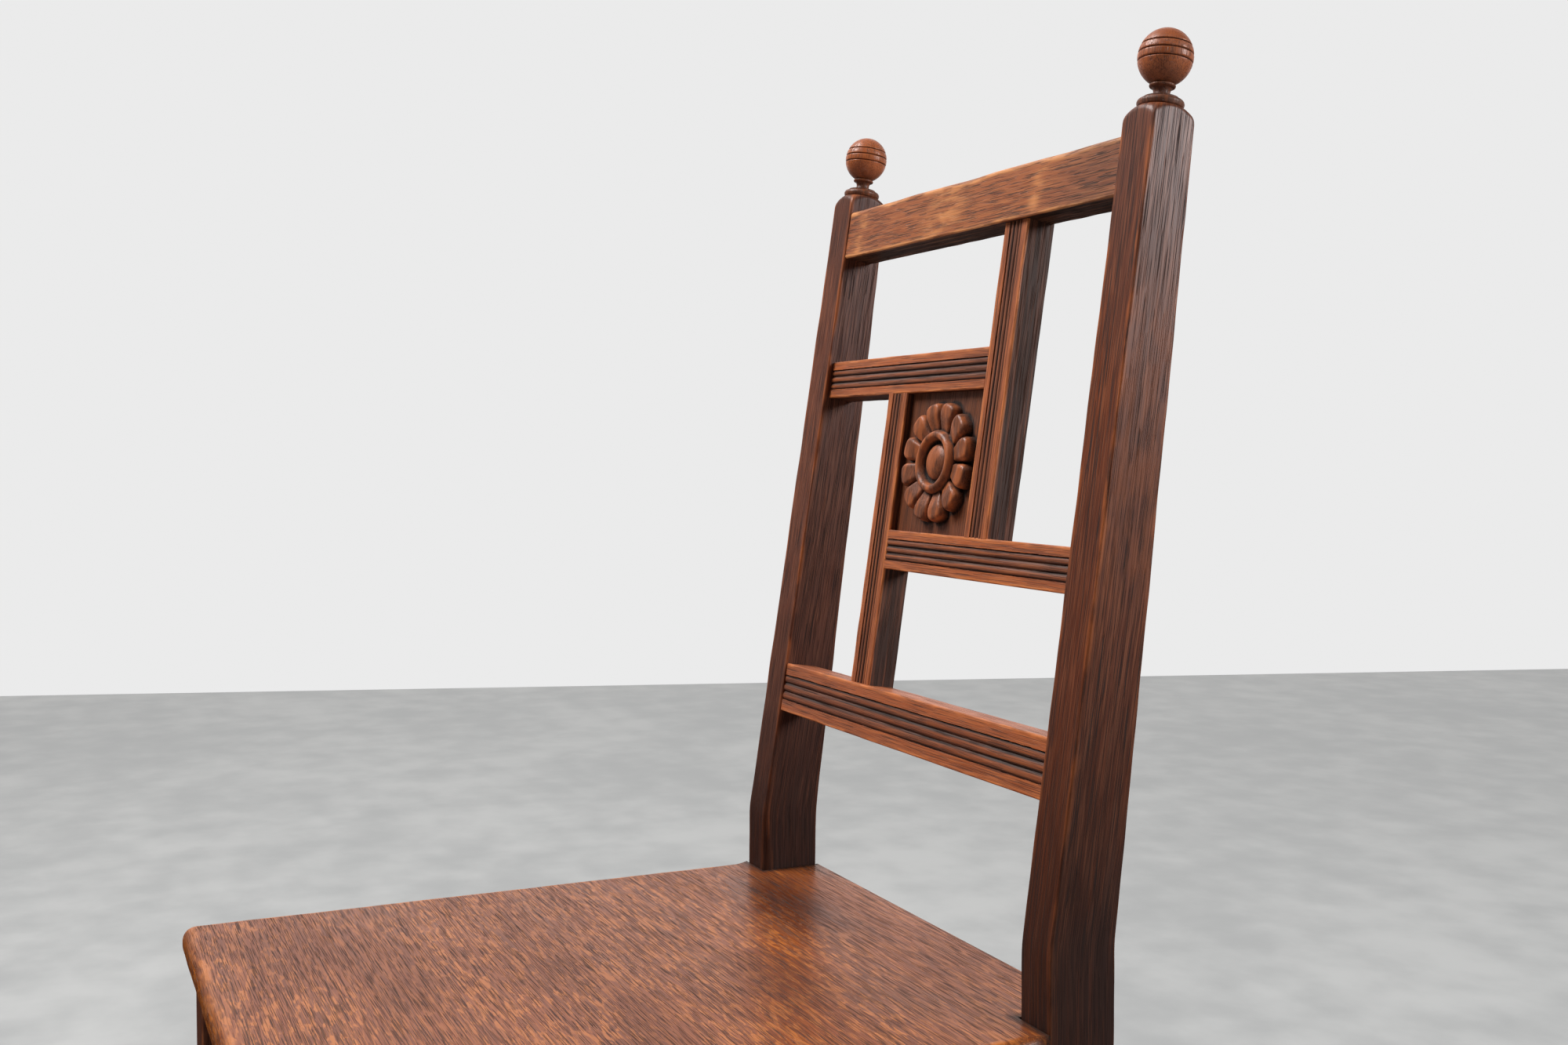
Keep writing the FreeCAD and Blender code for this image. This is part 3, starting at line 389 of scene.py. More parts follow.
class NodeSheet:
    """A material's node tree, with short calls for the nodes that the finishes use."""

    def __init__(self, name: str) -> None:
        """Starts a material with its usual shader.

        Args:
            name: Name of the material.
        """
        self.material = bpy.data.materials.new(name)
        self.material.use_nodes = True
        self.tree = self.material.node_tree
        self.shader = next(node for node in self.tree.nodes if node.type == "BSDF_PRINCIPLED")

    def add(self, kind: str, **settings: object) -> bpy.types.Node:
        """Adds a node and sets its properties.

        Args:
            kind: Blender's name for the kind of node.
            **settings: Its properties.

        Returns:
            The node.
        """
        node = self.tree.nodes.new(kind)
        for name, value in settings.items():
            setattr(node, name, value)
        return node

    def feed(self, socket: Socket, value: object) -> None:
        """Links another node's output to a socket, or sets the socket's own value.

        Args:
            socket: The input.
            value: An output, a number, or a colour or place.
        """
        if isinstance(value, Socket):
            self.tree.links.new(value, socket)
        elif isinstance(value, tuple) and socket.type == "RGBA":
            socket.default_value = (*value, 1.0)
        else:
            socket.default_value = value

    def grain(self, source: GrainSource) -> Socket:
        """The place of a point in its board.

        Args:
            source: Where the place is read from.

        Returns:
            The place, in metres.
        """
        if source is GrainSource.OBJECT:
            return self.add("ShaderNodeTexCoord").outputs[source.value]
        return self.add("ShaderNodeAttribute", attribute_name=source.value).outputs["Vector"]

    def mark(self, name: str) -> Socket:
        """One of the marks stored on the piece, 0 where it has none."""
        return self.add("ShaderNodeAttribute", attribute_name=name).outputs["Fac"]

    def noise(self, place: Socket, streaks: Streaks) -> Socket:
        """Noise drawn out along the board.

        Args:
            place: Place in the board.
            streaks: How the noise is drawn out.

        Returns:
            The noise, about 0 to 1.
        """
        mapping = self.add("ShaderNodeMapping")
        self.feed(mapping.inputs["Vector"], place)
        self.feed(mapping.inputs["Scale"], streaks.cells)
        node = self.add("ShaderNodeTexNoise")
        self.feed(node.inputs["Vector"], mapping.outputs["Vector"])
        self.feed(node.inputs["Scale"], 1.0)
        self.feed(node.inputs["Detail"], streaks.detail)
        self.feed(node.inputs["Distortion"], streaks.wander)
        return node.outputs["Fac"]

    def shown(self, place: Socket, streaks: Streaks, start: float = 0.0, end: float = 1.0) -> Socket:
        """Noise as a smooth step from start to end between the levels where it shows."""
        return self.ramp(self.noise(place, streaks), streaks.low, streaks.high, start, end)

    def ramp(self, value: Socket, low: float, high: float, start: float = 0.0,
             end: float = 1.0) -> Socket:
        """A smooth step from start to end as the value goes from low to high.

        Args:
            value: The value.
            low: Where the step starts.
            high: Where the step ends.
            start: Result up to low.
            end: Result from high on.

        Returns:
            The result.
        """
        node = self.add("ShaderNodeMapRange", interpolation_type="SMOOTHSTEP")
        for name, number in (("Value", value), ("From Min", low), ("From Max", high),
                             ("To Min", start), ("To Max", end)):
            self.feed(node.inputs[name], number)
        return node.outputs["Result"]

    def calc(self, operation: str, one: object, other: object) -> Socket:
        """One sum of two values.

        Args:
            operation: Blender's name for the sum.
            one: First value.
            other: Second value.

        Returns:
            The result.
        """
        node = self.add("ShaderNodeMath", operation=operation)
        self.feed(node.inputs[0], one)
        self.feed(node.inputs[1], other)
        return node.outputs["Value"]

    def blend(self, share: object, one: object, other: object, mode: str = "MIX") -> Socket:
        """Two colours mixed by a share of the second.

        Args:
            share: Share of the second, 0 to 1.
            one: First colour.
            other: Second colour.
            mode: Blender's name for the way they mix.

        Returns:
            The mixed colour.
        """
        node = self.add("ShaderNodeMix", data_type="RGBA", blend_type=mode)
        colours = [socket for socket in node.inputs if socket.type == "RGBA"]
        self.feed(node.inputs["Factor"], share)
        self.feed(colours[0], one)
        self.feed(colours[1], other)
        return next(socket for socket in node.outputs if socket.type == "RGBA")

    def bump(self, height: Socket, distance: float, strength: float) -> None:
        """Raises the shader's surface by a height map.

        Args:
            height: The height map.
            distance: Height that a value of 1 stands for.
            strength: How much of it counts, 0 to 1.
        """
        node = self.add("ShaderNodeBump")
        self.feed(node.inputs["Strength"], strength)
        self.feed(node.inputs["Distance"], distance)
        self.feed(node.inputs["Height"], height)
        self.feed(self.shader.inputs["Normal"], node.outputs["Normal"])


@dataclass(frozen=True)
class OakFinish:
    """Stained and waxed oak.

    Growth bands run along the board between two browns, fine dark pores lie along them, pale
    flakes cross them, arrises are rubbed to a lighter wood, and hollows hold dirt. Painted shade
    darkens hollows, sides and undersides, and a painted sheen lightens the posts' outer sides.

    Attributes:
        slot: The record's slot.
        ground: Colour between the growth lines.
        deep: Colour of the dense growth lines.
        bright: Colour of fibres and flakes.
        worn: Colour of rubbed arrises, and on the posts of the painted sheen.
        soot_and_shade: Colour of the dirt and painted shade in hollows, sides and undersides, and of
            the pores.
        bands: How far the growth bands go towards the deep colour, 0 to 1.
        fibre: How far the fibres go towards the bright colour, 0 to 1.
        pores: How dark the pores are, 0 to 1.
        pore_level: Noise level above which a pore opens; lower makes more of them.
        pore_cells: Pores a metre, along the board, across it and through it.
        sway: How much the pores wander.
        flakes: Strength of the small pale flakes, 0 to 1.
        roughness: Roughness of the waxed face.
        relief: Depth of the open grain.
        gloss: Specular level of the wax.
        post_painted_shade: How much painted shade and reflection of the left post lies on the seat
            beside its foot, 0 to 1.
        source: Where the grain is read from.
        drift: How far slow changes of shade go towards the deep colour, 0 to 1.
        spared: Share of the wear that is left where the rubbing missed.
        thin_grime_and_shade: Share of the dirt and painted shade that is left where it is thinnest.
        thin_flakes: Share of the flakes that is left where they are fewest.
        row_pull: How much the growth rows gather the pores.
        pore_edge: Noise level from a pore's edge to its middle.
        dull: Roughness added where the wax is dull.
        polish: Roughness taken away where the wax is bright.
        pore_dullness: Roughness added in the pores.
        dirt_dullness: Roughness added by dirt.
        fibre_rise: Height of the fibres as a share of the pores' depth.
        bump: Strength of the open grain.
    """

    slot: Slot
    ground: Colour
    deep: Colour
    bright: Colour
    worn: Colour
    soot_and_shade: Colour = (0.010, 0.006, 0.005)
    bands: float = 0.5
    fibre: float = 0.5
    pores: float = 0.8
    pore_level: float = 0.58
    pore_cells: Triple = (32.0, 2400.0, 2400.0)
    sway: float = 0.1
    flakes: float = 0.15
    roughness: float = 0.42
    relief: float = 0.0004
    gloss: float = 0.5
    post_painted_shade: float = 0.0
    source: GrainSource = GrainSource.BOARD
    drift: float = 0.4
    spared: float = 0.1
    thin_grime_and_shade: float = 0.72
    thin_flakes: float = 0.25
    row_pull: float = 0.16
    pore_edge: float = 0.05
    dull: float = 0.06
    polish: float = 0.05
    pore_dullness: float = 0.3
    dirt_dullness: float = 0.2
    fibre_rise: float = 0.3
    bump: float = 0.7

    def material(self) -> bpy.types.Material:
        """Builds the node tree.

        Returns:
            The material.
        """
        sheet = NodeSheet(self.slot.value)
        place = sheet.grain(self.source)
        fibres = sheet.noise(place, FIBRES)
        drift = sheet.noise(place, DRIFT)
        pore = self.pore_mask(sheet, place)
        colour = sheet.blend(sheet.shown(place, GROWTH, self.bands, 0.0), self.ground, self.deep)
        fibre = sheet.ramp(fibres, FIBRES.low, FIBRES.high, 0.0, self.fibre)
        colour = sheet.blend(fibre, colour, self.bright)
        colour = self.add_flakes(sheet, place, colour)
        shade = sheet.ramp(drift, DRIFT.low, DRIFT.high, self.drift, 0.0)
        colour = sheet.blend(shade, colour, self.deep)
        colour = sheet.blend(sheet.calc("MULTIPLY", pore, self.pores), colour, self.soot_and_shade)
        # Wear, and on the posts' outer sides a painted sheen, lighten the colour
        patchy = sheet.shown(place, RUBBING, self.spared)
        wear = sheet.calc("MULTIPLY", sheet.mark("wear"), patchy)
        colour = sheet.blend(wear, colour, self.worn)
        # Dirt and painted shade, streaked, darken the colour
        streaky = sheet.shown(place, DIRT_AND_SHADE, self.thin_grime_and_shade)
        dirt = sheet.calc("MULTIPLY", sheet.mark("grime_and_shade"), streaky)
        colour = sheet.blend(dirt, colour, self.soot_and_shade)
        # Painted shade and reflection of the left post darken the seat beside its foot
        if self.post_painted_shade:
            colour = sheet.blend(self.foot_shade(sheet), colour, self.deep, "MULTIPLY")
        sheet.feed(sheet.shader.inputs["Base Color"], colour)
        rough = sheet.ramp(drift, *WAX_LEVELS, self.roughness + self.dull, self.roughness - self.polish)
        for mark, dullness in ((pore, self.pore_dullness), (dirt, self.dirt_dullness)):
            rough = sheet.calc("ADD", rough, sheet.calc("MULTIPLY", mark, dullness))
        sheet.feed(sheet.shader.inputs["Roughness"], rough)
        sheet.shader.inputs["Specular IOR Level"].default_value = self.gloss
        height = sheet.calc("SUBTRACT", sheet.calc("MULTIPLY", fibres, self.fibre_rise), pore)
        sheet.bump(height, self.relief, self.bump)
        return sheet.material

    def pore_mask(self, sheet: NodeSheet, place: Socket) -> Socket:
        """Thin dark dashes along the grain, somewhat more of them in the early growth of each band.

        Args:
            sheet: The material's nodes.
            place: Place in the board.

        Returns:
            1 in a pore, 0 beside it.
        """
        dashes = sheet.noise(place, Streaks(self.pore_cells, 0.0, self.sway))
        rows = sheet.calc("MULTIPLY", sheet.noise(place, PORE_ROWS), self.row_pull)
        opening = self.pore_level + self.row_pull / 2.0
        return sheet.ramp(sheet.calc("ADD", dashes, rows), opening, opening + self.pore_edge)

    def foot_shade(self, sheet: NodeSheet) -> Socket:
        """Painted shade and reflection of the left post on the seat beside its foot, fading over a long
        patch.

        Args:
            sheet: The material's nodes.

        Returns:
            How much painted shade lies at a point.
        """
        squeezed = sheet.add("ShaderNodeMapping")
        sheet.feed(squeezed.inputs["Vector"], sheet.grain(GrainSource.OBJECT))
        sheet.feed(squeezed.inputs["Scale"], PAINTED_SHADE_SQUEEZE)
        middle = tuple(place * squeeze for place, squeeze in zip(PAINTED_SHADE_MIDDLE, PAINTED_SHADE_SQUEEZE))
        distance = sheet.add("ShaderNodeVectorMath", operation="DISTANCE")
        sheet.feed(distance.inputs[0], squeezed.outputs["Vector"])
        sheet.feed(distance.inputs[1], middle)
        return sheet.ramp(distance.outputs["Value"], 0.0, PAINTED_SHADE_REACH, self.post_painted_shade, 0.0)

    def add_flakes(self, sheet: NodeSheet, place: Socket, colour: Socket) -> Socket:
        """Lays small pale flakes over the growth bands, in patches.

        Args:
            sheet: The material's nodes.
            place: Place in the board.
            colour: Colour under the flakes.

        Returns:
            Colour with the flakes.
        """
        flakes = sheet.shown(place, FLAKES, 0.0, self.flakes)
        where = sheet.shown(place, FLAKE_PATCHES, self.thin_flakes)
        return sheet.blend(sheet.calc("MULTIPLY", flakes, where), colour, self.bright)


@dataclass(frozen=True)
class SteelFinish:
    """Dull screw steel with brown spots."""

    slot: Slot = Slot.SCREWS
    ground: Colour = (0.30, 0.28, 0.26)
    spots: Colour = (0.10, 0.05, 0.03)
    roughness: float = 0.45
    spot_roughness: float = 0.8
    metal: float = 0.9
    relief: float = 0.0001
    bump: float = 0.4

    def material(self) -> bpy.types.Material:
        """Builds the node tree.

        Returns:
            The material.
        """
        sheet = NodeSheet(self.slot.value)
        place = sheet.grain(GrainSource.OBJECT)
        rust = sheet.shown(place, RUST)
        rough = sheet.ramp(rust, 0.0, 1.0, self.roughness, self.spot_roughness)
        sheet.feed(sheet.shader.inputs["Base Color"], sheet.blend(rust, self.ground, self.spots))
        sheet.feed(sheet.shader.inputs["Roughness"], rough)
        sheet.shader.inputs["Metallic"].default_value = self.metal
        sheet.bump(rust, self.relief, self.bump)
        return sheet.material


Finish = OakFinish | SteelFinish

# On the posts the worn colour also shows the painted sheen of the outer sides
DARK_OAK = {
    "ground": (0.146, 0.033, 0.0110),
    "deep": (0.072, 0.0165, 0.0065),
    "bright": (0.27, 0.083, 0.035),
    "worn": (0.38, 0.100, 0.026),
    "soot_and_shade": (0.021, 0.0055, 0.0026),
}
FINISHES: dict[Slot, Finish] = {
    Slot.POSTS: OakFinish(Slot.POSTS, **DARK_OAK, pore_cells=(26.0, 2300.0, 2300.0), pores=0.9,
                          fibre=0.8, roughness=0.38, gloss=0.4),
    Slot.TOP_RAIL: OakFinish(Slot.TOP_RAIL, ground=(0.39, 0.108, 0.032), deep=(0.24, 0.058, 0.018),
                             bright=(0.60, 0.215, 0.072), worn=(0.74, 0.29, 0.095), pores=0.75,
                             sway=0.3, pore_cells=(62.0, 2500.0, 2500.0)),
    Slot.REEDED: OakFinish(Slot.REEDED, ground=(0.43, 0.110, 0.034), deep=(0.22, 0.053, 0.017),
                           bright=(0.64, 0.205, 0.070), worn=(0.66, 0.20, 0.056),
                           soot_and_shade=(0.030, 0.0105, 0.0055), pores=0.65),
    Slot.CARVED: OakFinish(Slot.CARVED, ground=(0.195, 0.058, 0.023), deep=(0.105, 0.032, 0.013),
                           bright=(0.26, 0.085, 0.036), worn=(0.52, 0.138, 0.037), pores=0.6),
    Slot.FINIALS: OakFinish(Slot.FINIALS, ground=(0.50, 0.135, 0.044), deep=(0.30, 0.074, 0.024),
                            bright=(0.64, 0.20, 0.066), worn=(0.66, 0.21, 0.066), pores=0.5,
                            roughness=0.31),
    # The seat carries a painted shade and reflection of the left post beside its foot
    Slot.SEAT: OakFinish(Slot.SEAT, ground=(0.240, 0.055, 0.012), deep=(0.120, 0.026, 0.007),
                         bright=(0.50, 0.150, 0.030), worn=(0.56, 0.175, 0.042), pores=0.7,
                         flakes=0.85, pore_level=0.585, pore_cells=(48.0, 2600.0, 2600.0),
                         roughness=0.28, gloss=0.32, post_painted_shade=0.72),
    Slot.LEGS: OakFinish(Slot.LEGS, **DARK_OAK),
    Slot.UNDERFRAME: OakFinish(Slot.UNDERFRAME, **DARK_OAK),
    Slot.BLOCKS: OakFinish(Slot.BLOCKS, ground=(0.34, 0.19, 0.09), deep=(0.2, 0.1, 0.05),
                           bright=(0.45, 0.28, 0.15), worn=(0.45, 0.28, 0.15), roughness=0.65,
                           source=GrainSource.OBJECT),
    Slot.SCREWS: SteelFinish(),
}


def set_up(name: str, data: bpy.types.ID) -> bpy.types.Object:
    """Puts a mesh, light or camera into the scene as an object.

    Args:
        name: Name of the object.
        data: The mesh, light or camera.

    Returns:
        The new object.
    """
    made = bpy.data.objects.new(name, data)
    bpy.context.scene.collection.objects.link(made)
    return made


@dataclass
class Workshop:
    """Makes finished objects and keeps each finish's material."""

    materials: dict[Slot, bpy.types.Material] = field(default_factory=dict)

    def material(self, slot: Slot) -> bpy.types.Material:
        """The one material of a slot.

        Args:
            slot: The slot.

        Returns:
            Its material, made when first asked for.
        """
        if slot not in self.materials:
            self.materials[slot] = FINISHES[slot].material()
        return self.materials[slot]

    def piece(self, node: str, shell: Shell, slot: Slot) -> None:
        """Makes one piece that stands for a CAD node.

        Args:
            node: Name of the CAD node.
            shell: The piece's surface and marks.
            slot: The finish.
        """
        mesh = bpy.data.meshes.new(f"{node}_look")
        faces = [face for array in shell.faces for face in array.tolist()]
        mesh.from_pydata(shell.places.tolist(), [], faces)
        grain = mesh.attributes.new("grain", "FLOAT_VECTOR", "POINT")
        grain.data.foreach_set("vector", shell.grain.astype(np.float32).ravel())
        for name, mark in (("wear", shell.wear), ("grime_and_shade", shell.grime_and_shade)):
            attribute = mesh.attributes.new(name, "FLOAT", "POINT")
            attribute.data.foreach_set("value", mark.astype(np.float32))
        mesh.shade_smooth()
        mesh.set_sharp_from_angle(angle=SHARP_ANGLE)
        mesh.materials.append(self.material(slot))
        made = set_up(f"{node}_look", mesh)
        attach(made, "root")
        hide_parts(node)
        log.info("%s: %d vertices", node, len(shell.places))

    def dress(self, node: str, slot: Slot) -> None:
        """Gives a CAD node that keeps its own shape its finish.

        Args:
            node: Name of the CAD node.
            slot: The finish.
        """
        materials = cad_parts[node].data.materials
        materials.clear()
        materials.append(self.material(slot))
        log.info("%s: finished as it stands", node)


def board_offset(node: str) -> Array:
    """Where a piece was cut from the tree, so that no two pieces share their figure."""
    seed = sum(ord(letter) * (place + 1) for place, letter in enumerate(node))
    return np.random.default_rng(seed).uniform(-TREE_HALF, TREE_HALF, 3)


# Lines of the chair that several pieces share
@dataclass(frozen=True)
class ChairLines:
    """Driving sizes of the chair and the lines that follow from them."""

    seat_height: float = 0.450
    seat_thickness: float = 0.021
    front_width: float = 0.434
    front_reach: float = 0.42325
    back_reach: float = 0.0465
    post_inset: float = 0.017
    post_width: float = 0.0283
    post_depth: float = 0.0452
    post_top_depth: float = 0.0305
    post_rise: float = 0.5248
    lean: float = math.radians(0.86)
    rake: float = math.radians(8.31)
    bend_height: float = 0.044
    bend_ease: float = 0.0065
    knee_drop: float = 0.095
    knee_ease: float = 0.0096
    foot_sweep: float = 0.077
    foot_depth: float = 0.032
    leg_width: float = 0.038
    leg_inset: float = 0.012

    @property
    def post_front(self) -> float:
        """Depth of the posts' front faces at the seat."""
        return (self.front_reach - self.foot_sweep - self.foot_depth) / 2.0

    @property
    def seat_under(self) -> float:
        """Height of the seat's underside."""
        return self.seat_height - self.seat_thickness

    @property
    def half_back(self) -> float:
        """Half the spread of the posts at the seat."""
        return self.front_width / 2.0 - self.post_inset

    @property
    def post_half(self) -> float:
        """Half a post's level width."""
        return self.post_width / math.cos(self.lean) / 2.0

    @property
    def post_middle(self) -> float:
        """A post's middle at the seat, from the chair's middle."""
        return self.half_back - self.post_half

    @property
    def leg_middle(self) -> float:
        """A front leg's middle, from the chair's middle."""
        return self.front_width / 2.0 - self.leg_inset - self.leg_width / 2.0

    @property
    def leg_front(self) -> float:
        """Depth of the front legs' front faces."""
        return self.post_front - self.front_reach + self.leg_inset

    def post_centre(self, height: Array | float) -> Array | float:
        """A post's middle at a height: it moves in by tan(lean) for each metre up."""
        return self.post_middle + math.tan(self.lean) * (self.seat_height - height)

    def post_inside(self, height: Array | float) -> Array | float:
        """A post's inner face at a height."""
        return self.post_centre(height) - self.post_half

    def leg_sweep(self, height: float) -> float:
        """How far a rear leg's front has swept back at a height below the knee."""
        knee = self.seat_height - self.knee_drop
        return self.foot_sweep * (knee - height) / knee

    def on_back(self, across: Array, deep: Array, up: Array) -> Array:
        """Places on the raked back.

        Args:
            across: Distance from the chair's middle.
            deep: Distance behind the posts' fronts, square to the slope.
            up: Distance up the slope from the bend.

        Returns:
            The places, turned by the rake about the bend.
        """
        across, deep, up = np.broadcast_arrays(across, deep, up)
        y = self.post_front + up * math.sin(self.rake) + deep * math.cos(self.rake)
        z = self.seat_height + self.bend_height + up * math.cos(self.rake) - deep * math.sin(self.rake)
        return np.stack([across, y, z], axis=-1)


# The posts and their finials
@dataclass
class Posts:
    """The two back posts, bent at the seat and the knee and domed on top."""

    lines: ChairLines
    arris: float = 0.0012
    arris_waver: float = 0.3
    rubbed_arris: float = 0.0062
    rubbed_height: float = 0.085
    dome_radius: float = 0.0285
    disc_radius: float = 0.0135
    top_rows: int = 30
    rows: int = 250
    dome_depth: float = 0.028
    shoulder: float = 0.18
    dome_wear: float = 4.0
    side_start: float = 0.9
    # Painted sheen on the outer sides: its strength, middle height and reach
    painted_sheen: float = 0.30
    sheen_middle: float = 0.335
    sheen_reach: float = 0.12
    # Darker near the seat: how dark, and its reach
    near_seat_darkening: float = 0.9
    near_seat_reach: float = 0.29
    seat_dirt: float = 0.85
    seat_reach: float = 0.0035
    # Painted shade on the inner sides
    inner_painted_shade: float = 0.35
    oblong: Oblong = Oblong()

    @property
    def top_front(self) -> float:
        """How far back a post's front has raked at its top."""
        return math.tan(self.lines.rake) * (self.lines.post_rise - self.lines.bend_height)

    @property
    def back_slope(self) -> float:
        """Slope of a post's back above the bend."""
        run = self.lines.post_rise - self.lines.bend_height
        return (self.top_front + self.lines.post_top_depth - self.lines.post_depth) / run

    @property
    def tilt(self) -> float:
        """Tilt of a post's top: the mean slope of its front and back."""
        return math.atan((math.tan(self.lines.rake) + self.back_slope) / 2.0)

    @property
    def top_middle(self) -> float:
        """Depth of a post's middle at its top."""
        return self.top_front + self.lines.post_top_depth / 2.0

    def faces(self, up: Array) -> tuple[Array, Array]:
        """Depth of a post's front and back: straight runs with eased bends.

        Args:
            up: Heights above the seat.

        Returns:
            The front and the back.
        """
        lines = self.lines
        above = eased(up - lines.bend_height, lines.bend_ease)
        below = eased(-lines.knee_drop - up, lines.knee_ease)
        leg = lines.seat_height - lines.knee_drop
        front = math.tan(lines.rake) * above + lines.foot_sweep / leg * below
        foot = lines.foot_sweep + lines.foot_depth - lines.post_depth
        return front, lines.post_depth + self.back_slope * above + foot / leg * below

    def placed(self, side: int, x: Array, y: Array, z: Array) -> Array:
        """Turns places of a post from upright to its lean, and stands them at the seat.

        Args:
            side: Which post, -1 or 1.
            x: Places across the post.
            y: Places from front to back.
            z: Heights above the seat.

        Returns:
            The places on the chair.
        """
        pitch = -self.lines.lean * side
        wide = self.lines.post_middle * side + x * math.cos(pitch) + z * math.sin(pitch)
        high = self.lines.seat_height + z * math.cos(pitch) - x * math.sin(pitch)
        return np.stack([wide, self.lines.post_front + y, high], axis=-1)

    def domed(self, x: Array, y: Array, z: Array) -> tuple[Array, ...]:
        """Draws the top in to a sphere about the post's tilted axis.

        Beyond the sphere's middle a vertex keeps its height h on the axis, and its distance
        from the axis is at most the root of radius squared less h squared. Where it nears that
        limit, the two are blended by a parabola.

        Args:
            x: Places across the post.
            y: Places from front to back.
            z: Heights above the seat.

        Returns:
            The new places, and how far each was drawn in, 0 to 1.
        """
        drop = math.sqrt(self.dome_radius**2 - self.disc_radius**2)
        lean_back, upright = math.sin(self.tilt), math.cos(self.tilt)
        y_off = y - self.top_middle + drop * lean_back
        z_off = z - self.lines.post_rise + drop * upright
        high = y_off * lean_back + z_off * upright
        back = y_off * upright - z_off * lean_back
        room = np.sqrt(np.maximum(self.dome_radius**2 - high**2, 0.0))
        off_axis = np.maximum(np.hypot(x, back), TUCK)
        limit = room / off_axis
        near = np.clip(0.5 + (limit - 1.0) / (2.0 * self.shoulder), 0.0, 1.0)
        soft = limit + (1.0 - limit) * near - self.shoulder * near * (1.0 - near)
        draw = np.where(high > 0.0, soft, 1.0)
        moved = back * (draw - 1.0)
        return x * draw, y + moved * upright, z - moved * lean_back, 1.0 - draw

    def shell(self, side_name: str) -> Shell:
        """One post: its section carried up the bent line from the foot to the domed top.

        Args:
            side_name: Which post.

        Returns:
            The post.
        """
        lines, side = self.lines, SIDES[side_name]
        start = lines.post_rise - self.dome_depth
        up = np.concatenate([np.linspace(-lines.seat_height - TUCK, start, self.rows),
                             np.linspace(start, lines.post_rise, self.top_rows)[1:]])
        front, back = self.faces(up)
        plain = self.arris * (1.0 + self.arris_waver * waver(up, SIDE_SEED + side))
        rubbed = plain
        if side_name == "left":
            near_seat = smooth_step(1.0 - np.maximum(up, 0.0) / self.rubbed_height)
            rubbed = plain + (self.rubbed_arris - self.arris) * near_seat
        section = self.oblong.section(lines.post_width, back - front, (plain, rubbed, plain, plain))
        x = section.across - lines.post_width / 2.0
        y = front[:, None] + section.deep
        level = smooth_step((up - start) / self.dome_depth)[:, None]
        middle = ((front + back) / 2.0)[:, None]
        z = up[:, None] - (y - middle) * math.tan(self.tilt) * level
        x, y, z, drawn = self.domed(x, y, z)
        places = self.placed(side, x, y, z)
        places[..., 2] = np.maximum(places[..., 2], 0.0)
        grain = np.stack([np.broadcast_to(z, x.shape), section.across, section.deep], axis=-1)
        # The wear carries the painted sheen, and the dirt the painted shade of the inner side
        wear, dirt = self.marks(section, side, up)
        wear = np.clip(wear + self.dome_wear * drawn, 0.0, 1.0)
        return tube(places, grain + board_offset(f"back_post_{side_name}"), wear, dirt)

    def marks(self, section: Section, side: int, up: Array) -> tuple[Array, Array]:
        """Wear, dirt, painted sheen and painted shade of a post.

        A painted sheen lightens the outer side over a stretch, full up to half its reach. Dirt is
        thickest in a line at the seat and fades up and down the post as exp(-distance / reach); the
        post also grows darker near the seat by a smooth step, and a thin painted shade lies on the
        inner side.

        Args:
            section: The post's section at every height.
            side: Which post, -1 or 1.
            up: Heights above the seat.

        Returns:
            The wear with the painted sheen, and the dirt with the darkening and the painted shade, in
            heights and vertices.
        """
        outward = (2.0 * section.across / self.lines.post_width - 1.0) * side
        outer, inner = (smooth_step((way * outward - self.side_start) / (1.0 - self.side_start))
                        for way in (1.0, -1.0))
        # Painted sheen over a stretch of the outer side
        off_middle = np.abs(up - self.sheen_middle) / self.sheen_reach
        sheen = self.painted_sheen * smooth_step(2.0 - 2.0 * off_middle)
        # Darker near the seat, by a smooth step
        darker_near_seat = self.near_seat_darkening * smooth_step(1.0 - np.abs(up) / self.near_seat_reach)
        line = self.seat_dirt * np.exp(-np.abs(up) / self.seat_reach)
        dirt = np.maximum(line, darker_near_seat)[:, None]
        # Painted shade on the inner side
        return section.wear + outer * sheen[:, None], np.maximum(dirt, self.inner_painted_shade * inner)

    def build(self, shop: Workshop) -> None:
        """Makes both posts."""
        for side_name in SIDES:
            shop.piece(f"back_post_{side_name}", self.shell(side_name), Slot.POSTS)


